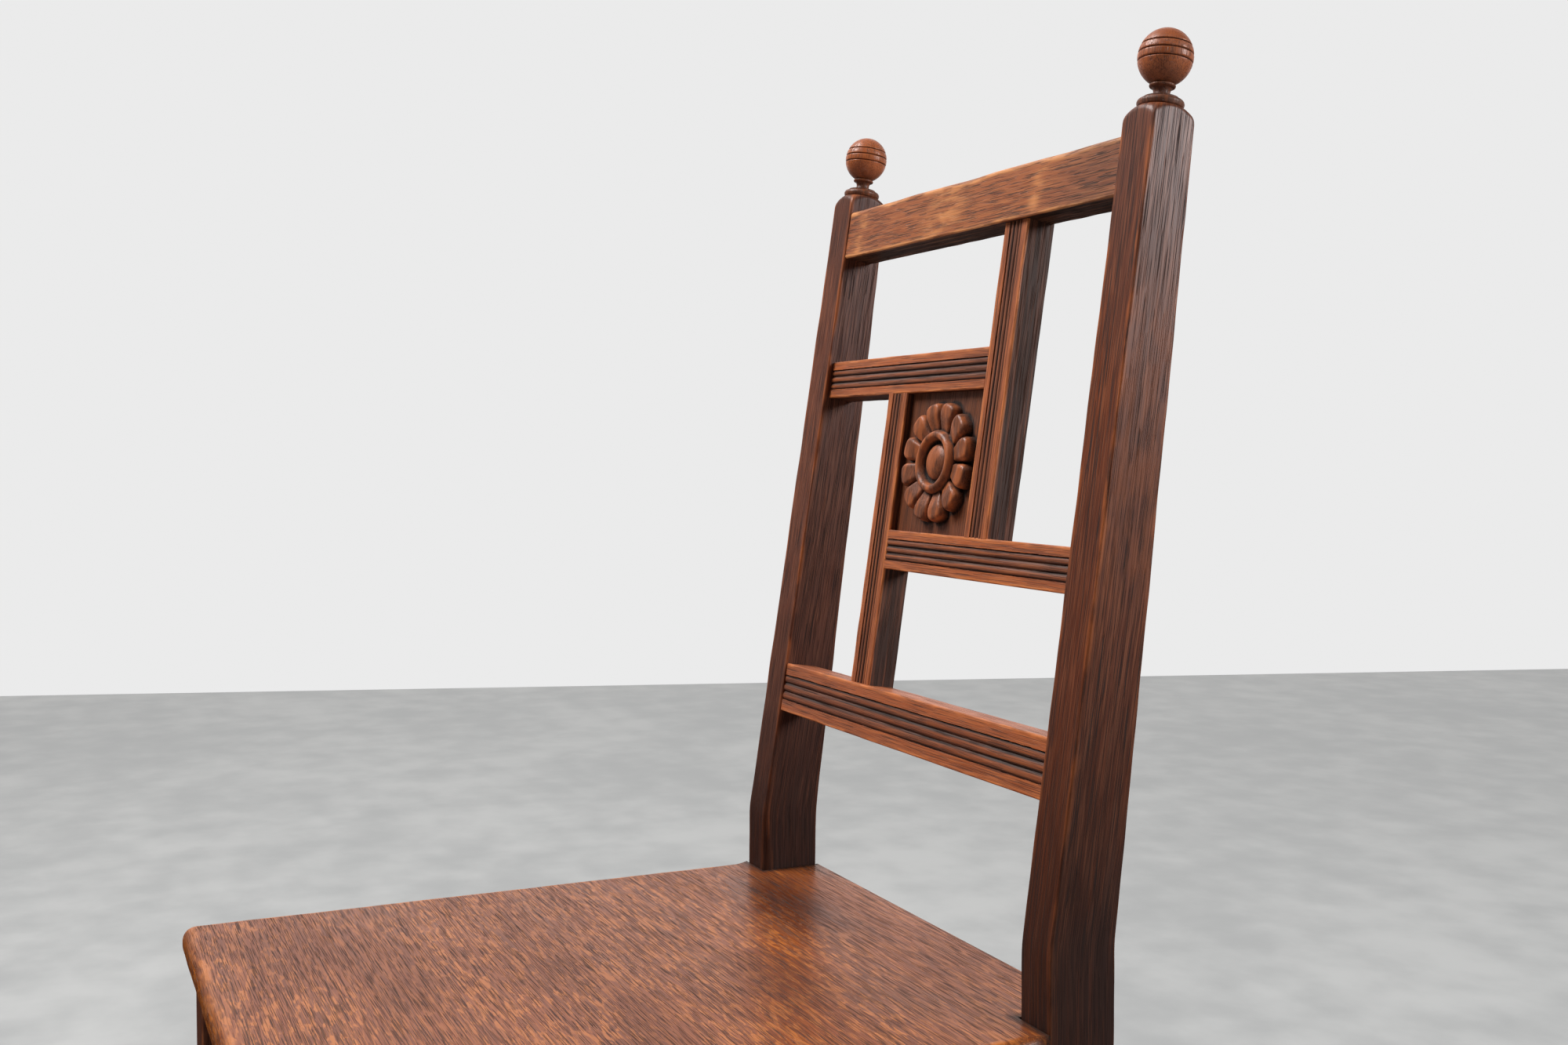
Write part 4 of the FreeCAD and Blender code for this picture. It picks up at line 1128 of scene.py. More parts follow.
@dataclass
class Finials:
    """The two turned finials: disc, step, neck, collar and a ball with three cut rings."""

    posts: Posts
    disc: tuple[float, float] = (0.0135, 0.0052)
    step: tuple[float, float] = (0.0103, 0.0012)
    neck: tuple[float, float] = (0.0049, 0.0060)
    collar: tuple[float, float] = (0.0077, 0.0022)
    ball_radius: float = 0.01614
    ball_rise: float = 0.0170
    ball_height: float = 0.0304
    ring_places: tuple[float, ...] = (-0.0029, 0.0019, 0.0067)
    ring_width: float = 0.0004
    ring_cut: float = 0.0009
    edge_share: float = 0.3
    edge_rise: float = 0.9
    bead_share: float = 0.4
    hollow_share: float = 0.22
    top_gap: float = 0.01
    ball_points: int = 220
    turns: int = 96
    spacing: float = 0.0004
    blur: int = 4
    hollow_depth: float = 0.0005
    proud_height: float = 0.0004
    rubbed: float = 0.25
    # Painted shade on the lower part of the ball, and how far below its middle it starts
    under_painted_shade: float = 0.72
    shade_drop: float = 0.004

    def outline(self) -> Array:
        """Radius and height up the finial: a quarter round, a step, a cove, a bead and the ball.

        At a height h from its middle the ball's radius is its half width times the root of 1
        less (h / its half height) squared, and each ring cuts exp(-(distance / width) squared)
        of its depth.

        Returns:
            The points, one row each.
        """
        edge = self.edge_share * self.disc[1]
        step_low = self.disc[1]
        cove_low = step_low + self.step[1]
        collar_low = cove_low + self.neck[1]
        collar_high = collar_low + self.collar[1]
        bead, hollow = self.bead_share * self.collar[1], self.hollow_share * self.neck[1]
        stem = profile([
            (TUCK, 0.0),
            (self.disc[0] - edge, 0.0, self.edge_share * edge),
            (self.disc[0], edge, self.edge_rise * edge),
            (self.step[0] + TUCK, step_low),
            (self.step[0], step_low),
            (self.step[0], cove_low),
            (self.neck[0] + hollow, cove_low, -hollow),
            (self.neck[0] + hollow, collar_low),
            (self.collar[0] - bead, collar_low, bead),
            (self.collar[0] - bead, collar_high),
        ], self.spacing)
        sink = math.asin((self.ball_height - collar_high) / self.ball_rise)
        angle = np.linspace(-sink, QUARTER_TURN - self.top_gap, self.ball_points)
        up = self.ball_rise * np.sin(angle)
        off_rings = (up[:, None] - np.array(self.ring_places)) / self.ring_width
        rings = np.exp(-(off_rings**2)).sum(-1)
        ball = np.stack([self.ball_radius * np.cos(angle) - self.ring_cut * rings,
                         self.ball_height + up], axis=-1)
        return np.vstack([stem, ball])

    def shell(self, side_name: str) -> Shell:
        """One finial: its outline turned about the post's tilted axis.

        Args:
            side_name: Which finial.

        Returns:
            The finial.
        """
        posts, side = self.posts, SIDES[side_name]
        outline = self.outline()
        angle = np.linspace(0.0, FULL_TURN, self.turns, endpoint=False)
        x = outline[:, :1] * np.cos(angle)
        back = outline[:, :1] * np.sin(angle)
        high = np.broadcast_to(outline[:, 1:], x.shape)
        y = posts.top_middle + back * math.cos(posts.tilt) + high * math.sin(posts.tilt)
        z = posts.lines.post_rise - back * math.sin(posts.tilt) + high * math.cos(posts.tilt)
        hollow = blurred(outline[:, 0], self.blur) - outline[:, 0]
        # Painted shade on the lower part of the ball, with dirt in the cut hollows
        below = smooth_step((self.ball_height - self.shade_drop - outline[:, 1]) / self.ball_rise)
        grime_and_shade = np.maximum(smooth_step(hollow / self.hollow_depth), self.under_painted_shade * below)[:, None]
        wear = self.rubbed * smooth_step(-hollow / self.proud_height)[:, None]
        grain = np.stack([high, x, back], axis=-1) + board_offset(f"finial_{side_name}")
        return tube(posts.placed(side, x, y, z), grain, wear, grime_and_shade)

    def build(self, shop: Workshop) -> None:
        """Makes both finials."""
        for side_name in SIDES:
            shop.piece(f"finial_{side_name}", self.shell(side_name), Slot.FINIALS)


# The open back between the posts
@dataclass
class OpenBack:
    """The rails, muntins and carved panel, all on the raked plane."""

    lines: ChairLines
    top_drop: float = 0.0499
    top_height: float = 0.0363
    top_round: float = 0.0030
    panel_height: float = 0.0976
    panel_lift: float = 0.00105
    reeded_height: float = 0.0278
    bottom_low: float = 0.0816
    bottom_height: float = 0.0367
    outer_thickness: float = 0.0236
    outer_recess: float = 0.0011
    muntin_offset: float = 0.061
    muntin_width: float = 0.0257
    inner_thickness: float = 0.021
    inner_recess: float = 0.0046
    band: float = 0.0064
    bottom_band: float = 0.0086
    reed_depth: float = 0.0020
    reed_round: float = 0.985
    reed_sink: float = 0.0001
    # Dirt and painted shade in the reeds: the grooves' reach as a share of depth, and the level on the
    # crowns
    groove_shade: float = 0.28
    crown_dirt_and_shade: float = 0.38
    arris: float = 0.0010
    arris_waver: float = 0.25
    # Painted shade behind the front face, on the muntins' sides and the rails' undersides
    side_painted_shade: float = 0.95
    shade_start: float = 0.0008
    rays: tuple[tuple[float, float], ...] = ((-0.37, 0.016), (-0.07, 0.055), (0.20, 0.014))
    ray_slant: float = 0.25
    ray_strength: float = 0.8
    dark_end: float = 0.075
    end_dirt: float = 0.42
    stations: int = 170
    reeded: Oblong = Oblong(front_points=150)
    plain: Oblong = Oblong(front_points=40)

    @property
    def top_low(self) -> float:
        """Underside of the top rail, up the slope."""
        slope = (self.lines.post_rise - self.lines.bend_height) / math.cos(self.lines.rake)
        return slope - self.top_drop

    @property
    def bottom_top(self) -> float:
        """Top of the bottom rail, up the slope."""
        return self.bottom_low + self.bottom_height

    @property
    def lower_low(self) -> float:
        """Underside of the lower reeded rail, up the slope."""
        inner = self.panel_height + 2.0 * self.reeded_height
        return (self.bottom_top + self.top_low - inner) / 2.0 + self.panel_lift

    @property
    def panel_low(self) -> float:
        """Lower edge of the panel, up the slope."""
        return self.lower_low + self.reeded_height

    @property
    def panel_high(self) -> float:
        """Upper edge of the panel, up the slope."""
        return self.panel_low + self.panel_height

    @property
    def panel_half(self) -> float:
        """Half the panel's width, to the muntins' near faces."""
        return self.muntin_offset - self.muntin_width / 2.0

    def reeding(self, section: Section, width: float, band: float) -> Array:
        """Depth cut into a face: flat bands, then half-round reeds with grooves between.

        Across one reed, from -1 to 1, the cut is a small sink and depth times 1 less the root
        of 1 less the place squared, with the place drawn in a little so the grooves stay open.

        Args:
            section: The bar's section.
            width: Width of its face.
            band: Width of each flat band.

        Returns:
            The depth, in stations and vertices.
        """
        pitch = (width - 2.0 * band) / REEDS
        place = (section.across - band) / pitch
        bow = 2.0 * np.mod(place, 1.0) - 1.0
        cut = self.reed_depth * (1.0 - rounded(self.reed_round * bow))
        reeded = section.front & (place > 0.0) & (place < REEDS)
        return np.where(reeded, self.reed_sink + cut, 0.0)

    def reed_dirt_and_shade(self, cut: Array) -> Array:
        """Dirt and painted shade over the reeds, full in the grooves and thinner on the crowns."""
        groove = smooth_step((cut - self.reed_sink) / (self.groove_shade * self.reed_depth))
        return np.where(cut > 0.0, self.crown_dirt_and_shade + (1.0 - self.crown_dirt_and_shade) * groove, 0.0)

    def ray_marks(self, along: Array, across: Array) -> Array:
        """Pale slanted rays of a quartered board, each exp(-(distance / width) squared) strong.

        Args:
            along: Places along the rail.
            across: Places up its face.

        Returns:
            How pale each place is, 0 to 1.
        """
        share = (along - self.ray_slant * across) / (2.0 * self.lines.half_back)
        rays = [np.exp(-(((share - middle) / width) ** 2)) for middle, width in self.rays]
        return self.ray_strength * np.maximum.reduce(rays)

    def painted_shade(self, section: Section) -> Array:
        """Painted shade behind the front face, on the sides, back and underside."""
        return self.side_painted_shade * smooth_step((section.deep - self.arris) / self.shade_start)

    def arrises(self, along: Array, seed: int, upper: float | None = None) -> list[Array]:
        """The four arrises of a bar, each wavering by itself along the bar."""
        sizes = (self.arris, upper or self.arris, upper or self.arris, self.arris)
        return wavering(sizes, along, self.arris_waver, seed)

    def rail(self, node: str, low: float, height: float, ends: tuple[float | None, float | None],
             recess: float, thickness: float, band: float | None) -> Shell:
        """A level rail on the slope, its ends fitted to the leaning posts.

        Args:
            node: Name of the CAD node.
            low: Underside, up the slope.
            height: Height of its face.
            ends: Its left and right ends, or None for an end that meets a post.
            recess: How far its face lies behind the posts' fronts.
            thickness: Its thickness.
            band: Width of the flat bands of a reeded face, or None for a plain one.

        Returns:
            The rail.
        """
        share = np.linspace(0.0, 1.0, self.stations)
        along = share * 2.0 * self.lines.half_back
        seed = len(node)
        radii = self.arrises(along, seed, None if band else self.top_round)
        oblong = self.reeded if band else self.plain
        section = oblong.section(height, thickness, radii)
        cut = self.reeding(section, height, band) if band else np.zeros_like(section.across)
        places = self.lines.on_back(0.0, recess + section.deep + cut, low + section.across)
        inside = self.lines.post_inside(places[..., 2]) + TUCK
        left = -inside if ends[0] is None else np.full_like(inside, ends[0])
        right = inside if ends[1] is None else np.full_like(inside, ends[1])
        places[..., 0] = left + (right - left) * share[:, None]
        grain = np.stack([places[..., 0], section.across, section.deep], axis=-1)
        wear = np.where(cut > 0.0, 0.0, section.wear)
        # Dirt and painted shade in the reeds
        grime_and_shade = self.reed_dirt_and_shade(cut)
        if band is None:
            wear = np.maximum(wear, self.ray_marks(places[..., 0], section.across))
            grime_and_shade = self.end_dirt * smooth_step(places[..., 0] / self.dark_end - 1.0)
        # Painted shade on the underside, behind the front face
        under = smooth_step(1.0 - 2.0 * section.across / height)
        grime_and_shade = np.maximum(grime_and_shade, under * self.painted_shade(section))
        return tube(places, grain + board_offset(node), wear, grime_and_shade)

    def muntin(self, node: str, side: int, low: float, high: float) -> Shell:
        """An upright reeded muntin between two rails.

        Args:
            node: Name of the CAD node.
            side: Which side of the panel, -1 or 1.
            low: Its lower end, up the slope.
            high: Its upper end, up the slope.

        Returns:
            The muntin.
        """
        along = np.linspace(low - TUCK, high + TUCK, self.stations)
        section = self.reeded.section(self.muntin_width, self.inner_thickness,
                                      self.arrises(along, len(node) + side))
        cut = self.reeding(section, self.muntin_width, self.band)
        across = self.muntin_offset * side - self.muntin_width / 2.0 + section.across
        places = self.lines.on_back(across, self.inner_recess + section.deep + cut, along[:, None])
        up = np.broadcast_to(along[:, None], section.across.shape)
        grain = np.stack([up, section.across, section.deep], axis=-1)
        wear = np.where(cut > 0.0, 0.0, section.wear)
        # Dirt and painted shade in the reeds, and painted shade on the sides and back
        grime_and_shade = np.maximum(self.reed_dirt_and_shade(cut), self.painted_shade(section))
        return tube(places, grain + board_offset(node), wear, grime_and_shade)

    def build(self, shop: Workshop) -> None:
        """Makes the rails and the muntins.

        Args:
            shop: Makes the objects.
        """
        half = self.panel_half + TUCK
        outer = self.outer_recess, self.outer_thickness
        inner = self.inner_recess, self.inner_thickness
        rails = {
            "top_rail": (self.top_low, self.top_height, (None, None), *outer, None),
            "bottom_reeded_rail": (self.bottom_low, self.bottom_height, (None, None), *outer,
                                   self.bottom_band),
            "upper_reeded_rail": (self.panel_high, self.reeded_height, (None, half), *inner, self.band),
            "lower_reeded_rail": (self.lower_low, self.reeded_height, (-half, None), *inner, self.band),
        }
        for node, sizes in rails.items():
            slot = Slot.TOP_RAIL if node == "top_rail" else Slot.REEDED
            shop.piece(node, self.rail(node, *sizes), slot)
        muntins = {
            "upper_muntin": (1, self.panel_low, self.top_low),
            "lower_muntin": (-1, self.bottom_top, self.panel_high),
        }
        for node, sizes in muntins.items():
            shop.piece(node, self.muntin(node, *sizes), Slot.REEDED)


@dataclass
class RosettePanel:
    """The carved panel: twelve domed petals round a ring and a boss on a sunk ground."""

    back: OpenBack
    recess: float = 0.006
    thickness: float = 0.008
    margin: float = 0.0066
    petals: int = 12
    petal_half: float = 0.0086
    petal_inner: float = 0.0046
    petal_end: float = 0.0075
    petal_height: float = 0.0080
    petal_foot: float = 0.55
    ring_radius: float = 0.0184
    ring_half: float = 0.0041
    ring_height: float = 0.0092
    boss_radius: float = 0.0122
    boss_height: float = 0.0080
    hollow_height: float = 0.0035
    outline_power: float = 3.0
    top_power: float = 8.0
    ring_power: float = 2.4
    cells: int = 270
    blur: int = 7
    least_change: float = 0.0002
    # Painted shade in the carving's hollows
    hollow_shade: float = 0.97
    hollow_depth: float = 0.0015
    top_wear: float = 0.7
    top_start: float = 0.5
    top_rise: float = 0.002
    edge_wear: float = 0.9
    edge_height: float = 0.0009

    def relief(self, across: Array, up: Array) -> Array:
        """Height of the carving above the ground.

        A petal widens straight from the ring and has a round end. With q its distance from the
        axis as a share of its half width, and past the end's start as a share of the end's
        length, its height is its crown times the root of 1 less q to the eighth, a nearly flat
        top with steep sides. The crown climbs smoothly away from the ring. The ring is a rounded
        hoop, the boss a cap in its hollow, and the highest of them stands.

        Args:
            across: Distance from the panel's middle, to the right.
            up: Distance from the panel's middle, upwards.

        Returns:
            The height.
        """
        reach = min(self.back.panel_half, self.back.panel_height / 2.0) - self.margin
        middle = reach - self.petal_end
        radius = np.hypot(across, up)
        pitch = FULL_TURN / self.petals
        angle = np.mod(np.arctan2(across, up), pitch) - pitch / 2.0
        along, aside = radius * np.cos(angle), radius * np.sin(angle)
        share = np.clip((along - self.ring_radius) / (middle - self.ring_radius), 0.0, 1.0)
        half = self.petal_inner + (self.petal_half - self.petal_inner) * share
        past_end = np.maximum(along - middle, 0.0) / self.petal_end
        edge = (np.abs(aside) / half) ** self.outline_power + past_end**self.outline_power
        crown = self.petal_height * (self.petal_foot + (1.0 - self.petal_foot) * smooth_step(share))
        petal = crown * rounded(edge, self.top_power / self.outline_power)
        petal = np.where(radius > self.ring_radius, petal, 0.0)
        off_ring = np.abs(radius - self.ring_radius) / self.ring_half
        ring = self.ring_height * rounded(off_ring, self.ring_power)
        cap = rounded(radius / self.boss_radius)
        boss = self.hollow_height + (self.boss_height - self.hollow_height) * cap
        boss = np.where(radius < self.ring_radius, boss, 0.0)
        return np.maximum.reduce([petal, ring, boss])

    def shell(self) -> Shell:
        """The panel: the carved face as a grid, with a rim and a flat back.

        Returns:
            The panel.
        """
        back = self.back
        half = back.panel_half + TUCK
        rise = back.panel_height / 2.0 + TUCK
        across, up = np.meshgrid(np.linspace(-half, half, self.cells),
                                 np.linspace(-rise, rise, self.cells))
        height = self.relief(across, up)
        face = back.inner_recess + self.recess
        middle = back.panel_low + back.panel_height / 2.0
        front = back.lines.on_back(across, face - height, middle + up).reshape(-1, 3)
        numbers = np.arange(self.cells**2).reshape(self.cells, self.cells)
        sides = numbers[0, :-1], numbers[:-1, -1], numbers[-1, :0:-1], numbers[:0:-1, 0]
        rim = np.concatenate(sides)
        rim_across, rim_up = across.ravel()[rim], up.ravel()[rim]
        behind = back.lines.on_back(rim_across, face + self.thickness, middle + rim_up)
        rear = self.cells**2 + np.arange(len(rim))
        wall = np.stack([rim, rear, np.roll(rear, -1), np.roll(rim, -1)], axis=-1)
        faces = [grid_faces(self.cells, self.cells, False), wall, rear[None, :]]
        # Painted shade in the carving's hollows
        hollow = blurred(height, self.blur) - height
        grime_and_shade = self.hollow_shade * smooth_step((hollow - self.least_change) / self.hollow_depth)
        tops = smooth_step((height - self.top_start * self.petal_height) / self.top_rise)
        edges = smooth_step((-hollow - self.least_change) / self.edge_height)
        wear = np.maximum(self.top_wear * tops, self.edge_wear * edges)
        grain = np.stack([up, across, -height], axis=-1).reshape(-1, 3) + board_offset("rosette_panel")
        pick = np.concatenate([numbers.ravel(), rim])
        marks = wear.ravel()[pick], grime_and_shade.ravel()[pick]
        return Shell(np.vstack([front, behind]), faces, grain[pick], *marks).outward()

    def build(self, shop: Workshop) -> None:
        """Makes the panel."""
        shop.piece("rosette_panel", self.shell(), Slot.CARVED)


# The seat
@dataclass
class SeatBoard:
    """The board seat, notched round the posts, its front and sides rounded and rubbed."""

    lines: ChairLines
    corner_radius: float = 0.0095
    front_rub: float = 0.004
    upper_reach: float = 0.0070
    upper_drop: float = 0.0085
    lower_reach: float = 0.0070
    lower_rise: float = 0.0100
    square_round: float = 0.0004
    unevenness: float = 0.05
    notch_gap: float = 0.0009
    # Dirt and painted shade round the notches, and its reach
    notch_dirt_and_shade: float = 0.95
    notch_reach: float = 0.0080
    wear_start: float = 0.03
    # Painted shade on the right side below the top: its strength, where it starts and how it fades in
    dark_side: float = 0.85
    dark_start: float = 0.002
    dark_fade: float = 0.004
    rings: tuple[float, ...] = (0.0084, 0.0080, 0.0076)
    notch_ring: float = 0.0022
    ring_wear: float = 0.75
    round_start: float = 0.004
    spacing: float = 0.003
    corner_points: int = 16
    edge_points: int = 12
    side_wear: float = 0.35
    worn_turn: float = 0.2

    @property
    def turn(self) -> Array:
        """Angles through which each half of the edge turns, one in each row."""
        return np.linspace(0.0, QUARTER_TURN, self.edge_points)[:, None]

    @property
    def notch_front(self) -> float:
        """Depth of the front of the notches."""
        return self.lines.post_front - self.notch_gap

    @property
    def notch_side(self) -> float:
        """Inner side of the notches, from the chair's middle."""
        return self.lines.post_inside(self.lines.seat_height) - self.notch_gap

    def corners(self) -> Array:
        """Corners of the seat's outline from above, clockwise from the middle of the back.

        The right half goes round the post's notch, along the side and round the front corner,
        and the left half mirrors it.

        Returns:
            The corners, one row each.
        """
        lines = self.lines
        rear = lines.post_front + lines.back_reach
        front = lines.post_front - lines.front_reach + self.front_rub
        half = lines.front_width / 2.0
        slope = (half - lines.half_back) / (rear - front)
        turn = math.atan(slope)
        tangent = self.corner_radius * math.tan((QUARTER_TURN + turn) / 2.0)
        sweep = np.linspace(turn, -QUARTER_TURN, self.corner_points)
        circle = np.stack([np.cos(sweep), np.sin(sweep)], axis=-1)
        right = np.vstack([
            (0.0, rear),
            (self.notch_side, rear),
            (self.notch_side, self.notch_front),
            (half - slope * (self.notch_front - front), self.notch_front),
            np.array([half - tangent, front + self.corner_radius]) + self.corner_radius * circle,
        ])
        return np.vstack([right, (0.0, front), right[:0:-1] * (-1.0, 1.0)])

    def inward(self, plan: Array) -> Array:
        """Mitre of each corner of a clockwise outline. One step along it leaves both edges by one.

        Args:
            plan: The outline's corners.

        Returns:
            The mitres, one row each.
        """
        before = plan - np.roll(plan, 1, axis=0)
        after = np.roll(plan, -1, axis=0) - plan
        normals = [np.stack([way[:, 1], -way[:, 0]], axis=-1) / np.linalg.norm(way, axis=1)[:, None]
                   for way in (before, after)]
        total = normals[0] + normals[1]
        return 2.0 * total / (total**2).sum(axis=1)[:, None]

    def plan(self) -> tuple[Array, Array]:
        """The outline's points and mitres, each run between corners filled in evenly.

        Returns:
            The points and the mitres.
        """
        corners = self.corners()
        columns = np.hstack([corners, self.inward(corners)])
        columns = np.vstack([columns, columns[:1]])
        steps = np.diff(columns[:, :2], axis=0, prepend=columns[:1, :2])
        run = np.cumsum(np.linalg.norm(steps, axis=1))
        stops = np.concatenate([run, np.arange(0.0, run[-1], self.spacing)])
        stops = np.unique(np.round(stops, PLACE_DIGITS))[:-1]
        filled = np.stack([np.interp(stops, run, column) for column in columns.T], axis=-1)
        return filled[:, :2], filled[:, 2:]

    def past_notch(self, plan: Array, reach: float) -> Array:
        """How far points lie in front of the notches, as a share of a reach, from 0 to 1."""
        return np.clip((self.notch_front - plan[:, 1]) / reach, 0.0, 1.0)

    def edge_rows(self, plan: Array) -> tuple[Array, Array]:
        """The edge, in rows from inside the top to the underside.

        On the upper edge, at an angle t, the edge lies its reach times (1 - sin t) in from the
        plan and its drop times (1 - cos t) below the top. On the lower edge it lies its reach
        times (1 - cos t) in and its rise times (1 - sin t) above the underside. At the back and
        the notches it is almost square.

        Args:
            plan: The outline's points.

        Returns:
            How far each row lies in from the outline, and how far below the top.
        """
        share = self.past_notch(plan, self.round_start)
        uneven = 1.0 + self.unevenness * share * waver(plan.sum(axis=1), SEAT_SEED)
        rounds = np.array([self.upper_reach, self.upper_drop, self.lower_reach, self.lower_rise])
        rounds = self.square_round + (rounds[:, None] - self.square_round) * share * uneven
        reach, drop, lower_reach, lower_rise = rounds
        level = np.zeros_like(share)
        rings = np.array(self.rings)[:, None] + level
        rings[-1] = self.notch_ring + (self.rings[-1] - self.notch_ring) * share
        early, late = 1.0 - np.sin(self.turn), 1.0 - np.cos(self.turn)
        thickness = self.lines.seat_thickness
        inset = np.vstack([rings, reach * early, lower_reach * late, rings[:1]])
        down = np.vstack([np.zeros_like(rings), drop * late, thickness - lower_rise * early,
                          thickness + level])
        return inset, down

    def marks(self, plan: Array, mitre: Array, inset: Array, down: Array) -> tuple[Array, Array]:
        """Wear, dirt and painted shade of the edge.

        Wear is a band exp(-(t / worn turn - 1) squared) where the edge turns over, thinner on
        the sides and inside the top, and fades towards the notches. Dirt and painted shade lie
        round the posts, and painted shade makes the right side dark below the top.

        Args:
            plan: The outline's points.
            mitre: Their mitres, which point inwards.
            inset: How far each row lies in from the outline.
            down: How far each row lies below the top.

        Returns:
            The wear, and the dirt with the painted shade, in rows and points.
        """
        share = self.past_notch(plan, self.round_start)
        rubbed = smooth_step(self.past_notch(plan, self.wear_start))
        band = np.exp(-((self.turn / self.worn_turn - 1.0) ** 2))
        rows = np.vstack([np.linspace(0.0, self.ring_wear, len(self.rings))[:, None],
                          self.side_wear + (1.0 - self.side_wear) * band,
                          np.full_like(self.turn, self.side_wear),
                          np.zeros((1, 1))])
        at_post = (1.0 - share) * (np.abs(plan[:, 0]) > self.notch_side - TUCK)
        # Dirt and painted shade round the posts
        notches = self.notch_dirt_and_shade * smooth_step(1.0 - inset / self.notch_reach) * at_post
        # Painted shade on the right side below the top
        right = self.dark_side * np.clip(-mitre[:, 0], 0.0, 1.0) * (share > 0.0)
        right = right * smooth_step((down - self.dark_start) / self.dark_fade)
        return rows * rubbed, np.maximum(notches, right)

    def shell(self) -> Shell:
        """The seat: a rounded edge carried round the plan, closed by a flat top and underside.

        Returns:
            The seat.
        """
        plan, mitre = self.plan()
        inset, down = self.edge_rows(plan)
        flat = plan + mitre * inset[..., None]
        places = np.concatenate([flat, (self.lines.seat_height - down)[..., None]], axis=-1)
        marks = self.marks(plan, mitre, inset, down)
        return tube(places, places + board_offset("seat_board"), *marks)

    def build(self, shop: Workshop) -> None:
        """Makes the seat."""
        shop.piece("seat_board", self.shell(), Slot.SEAT)


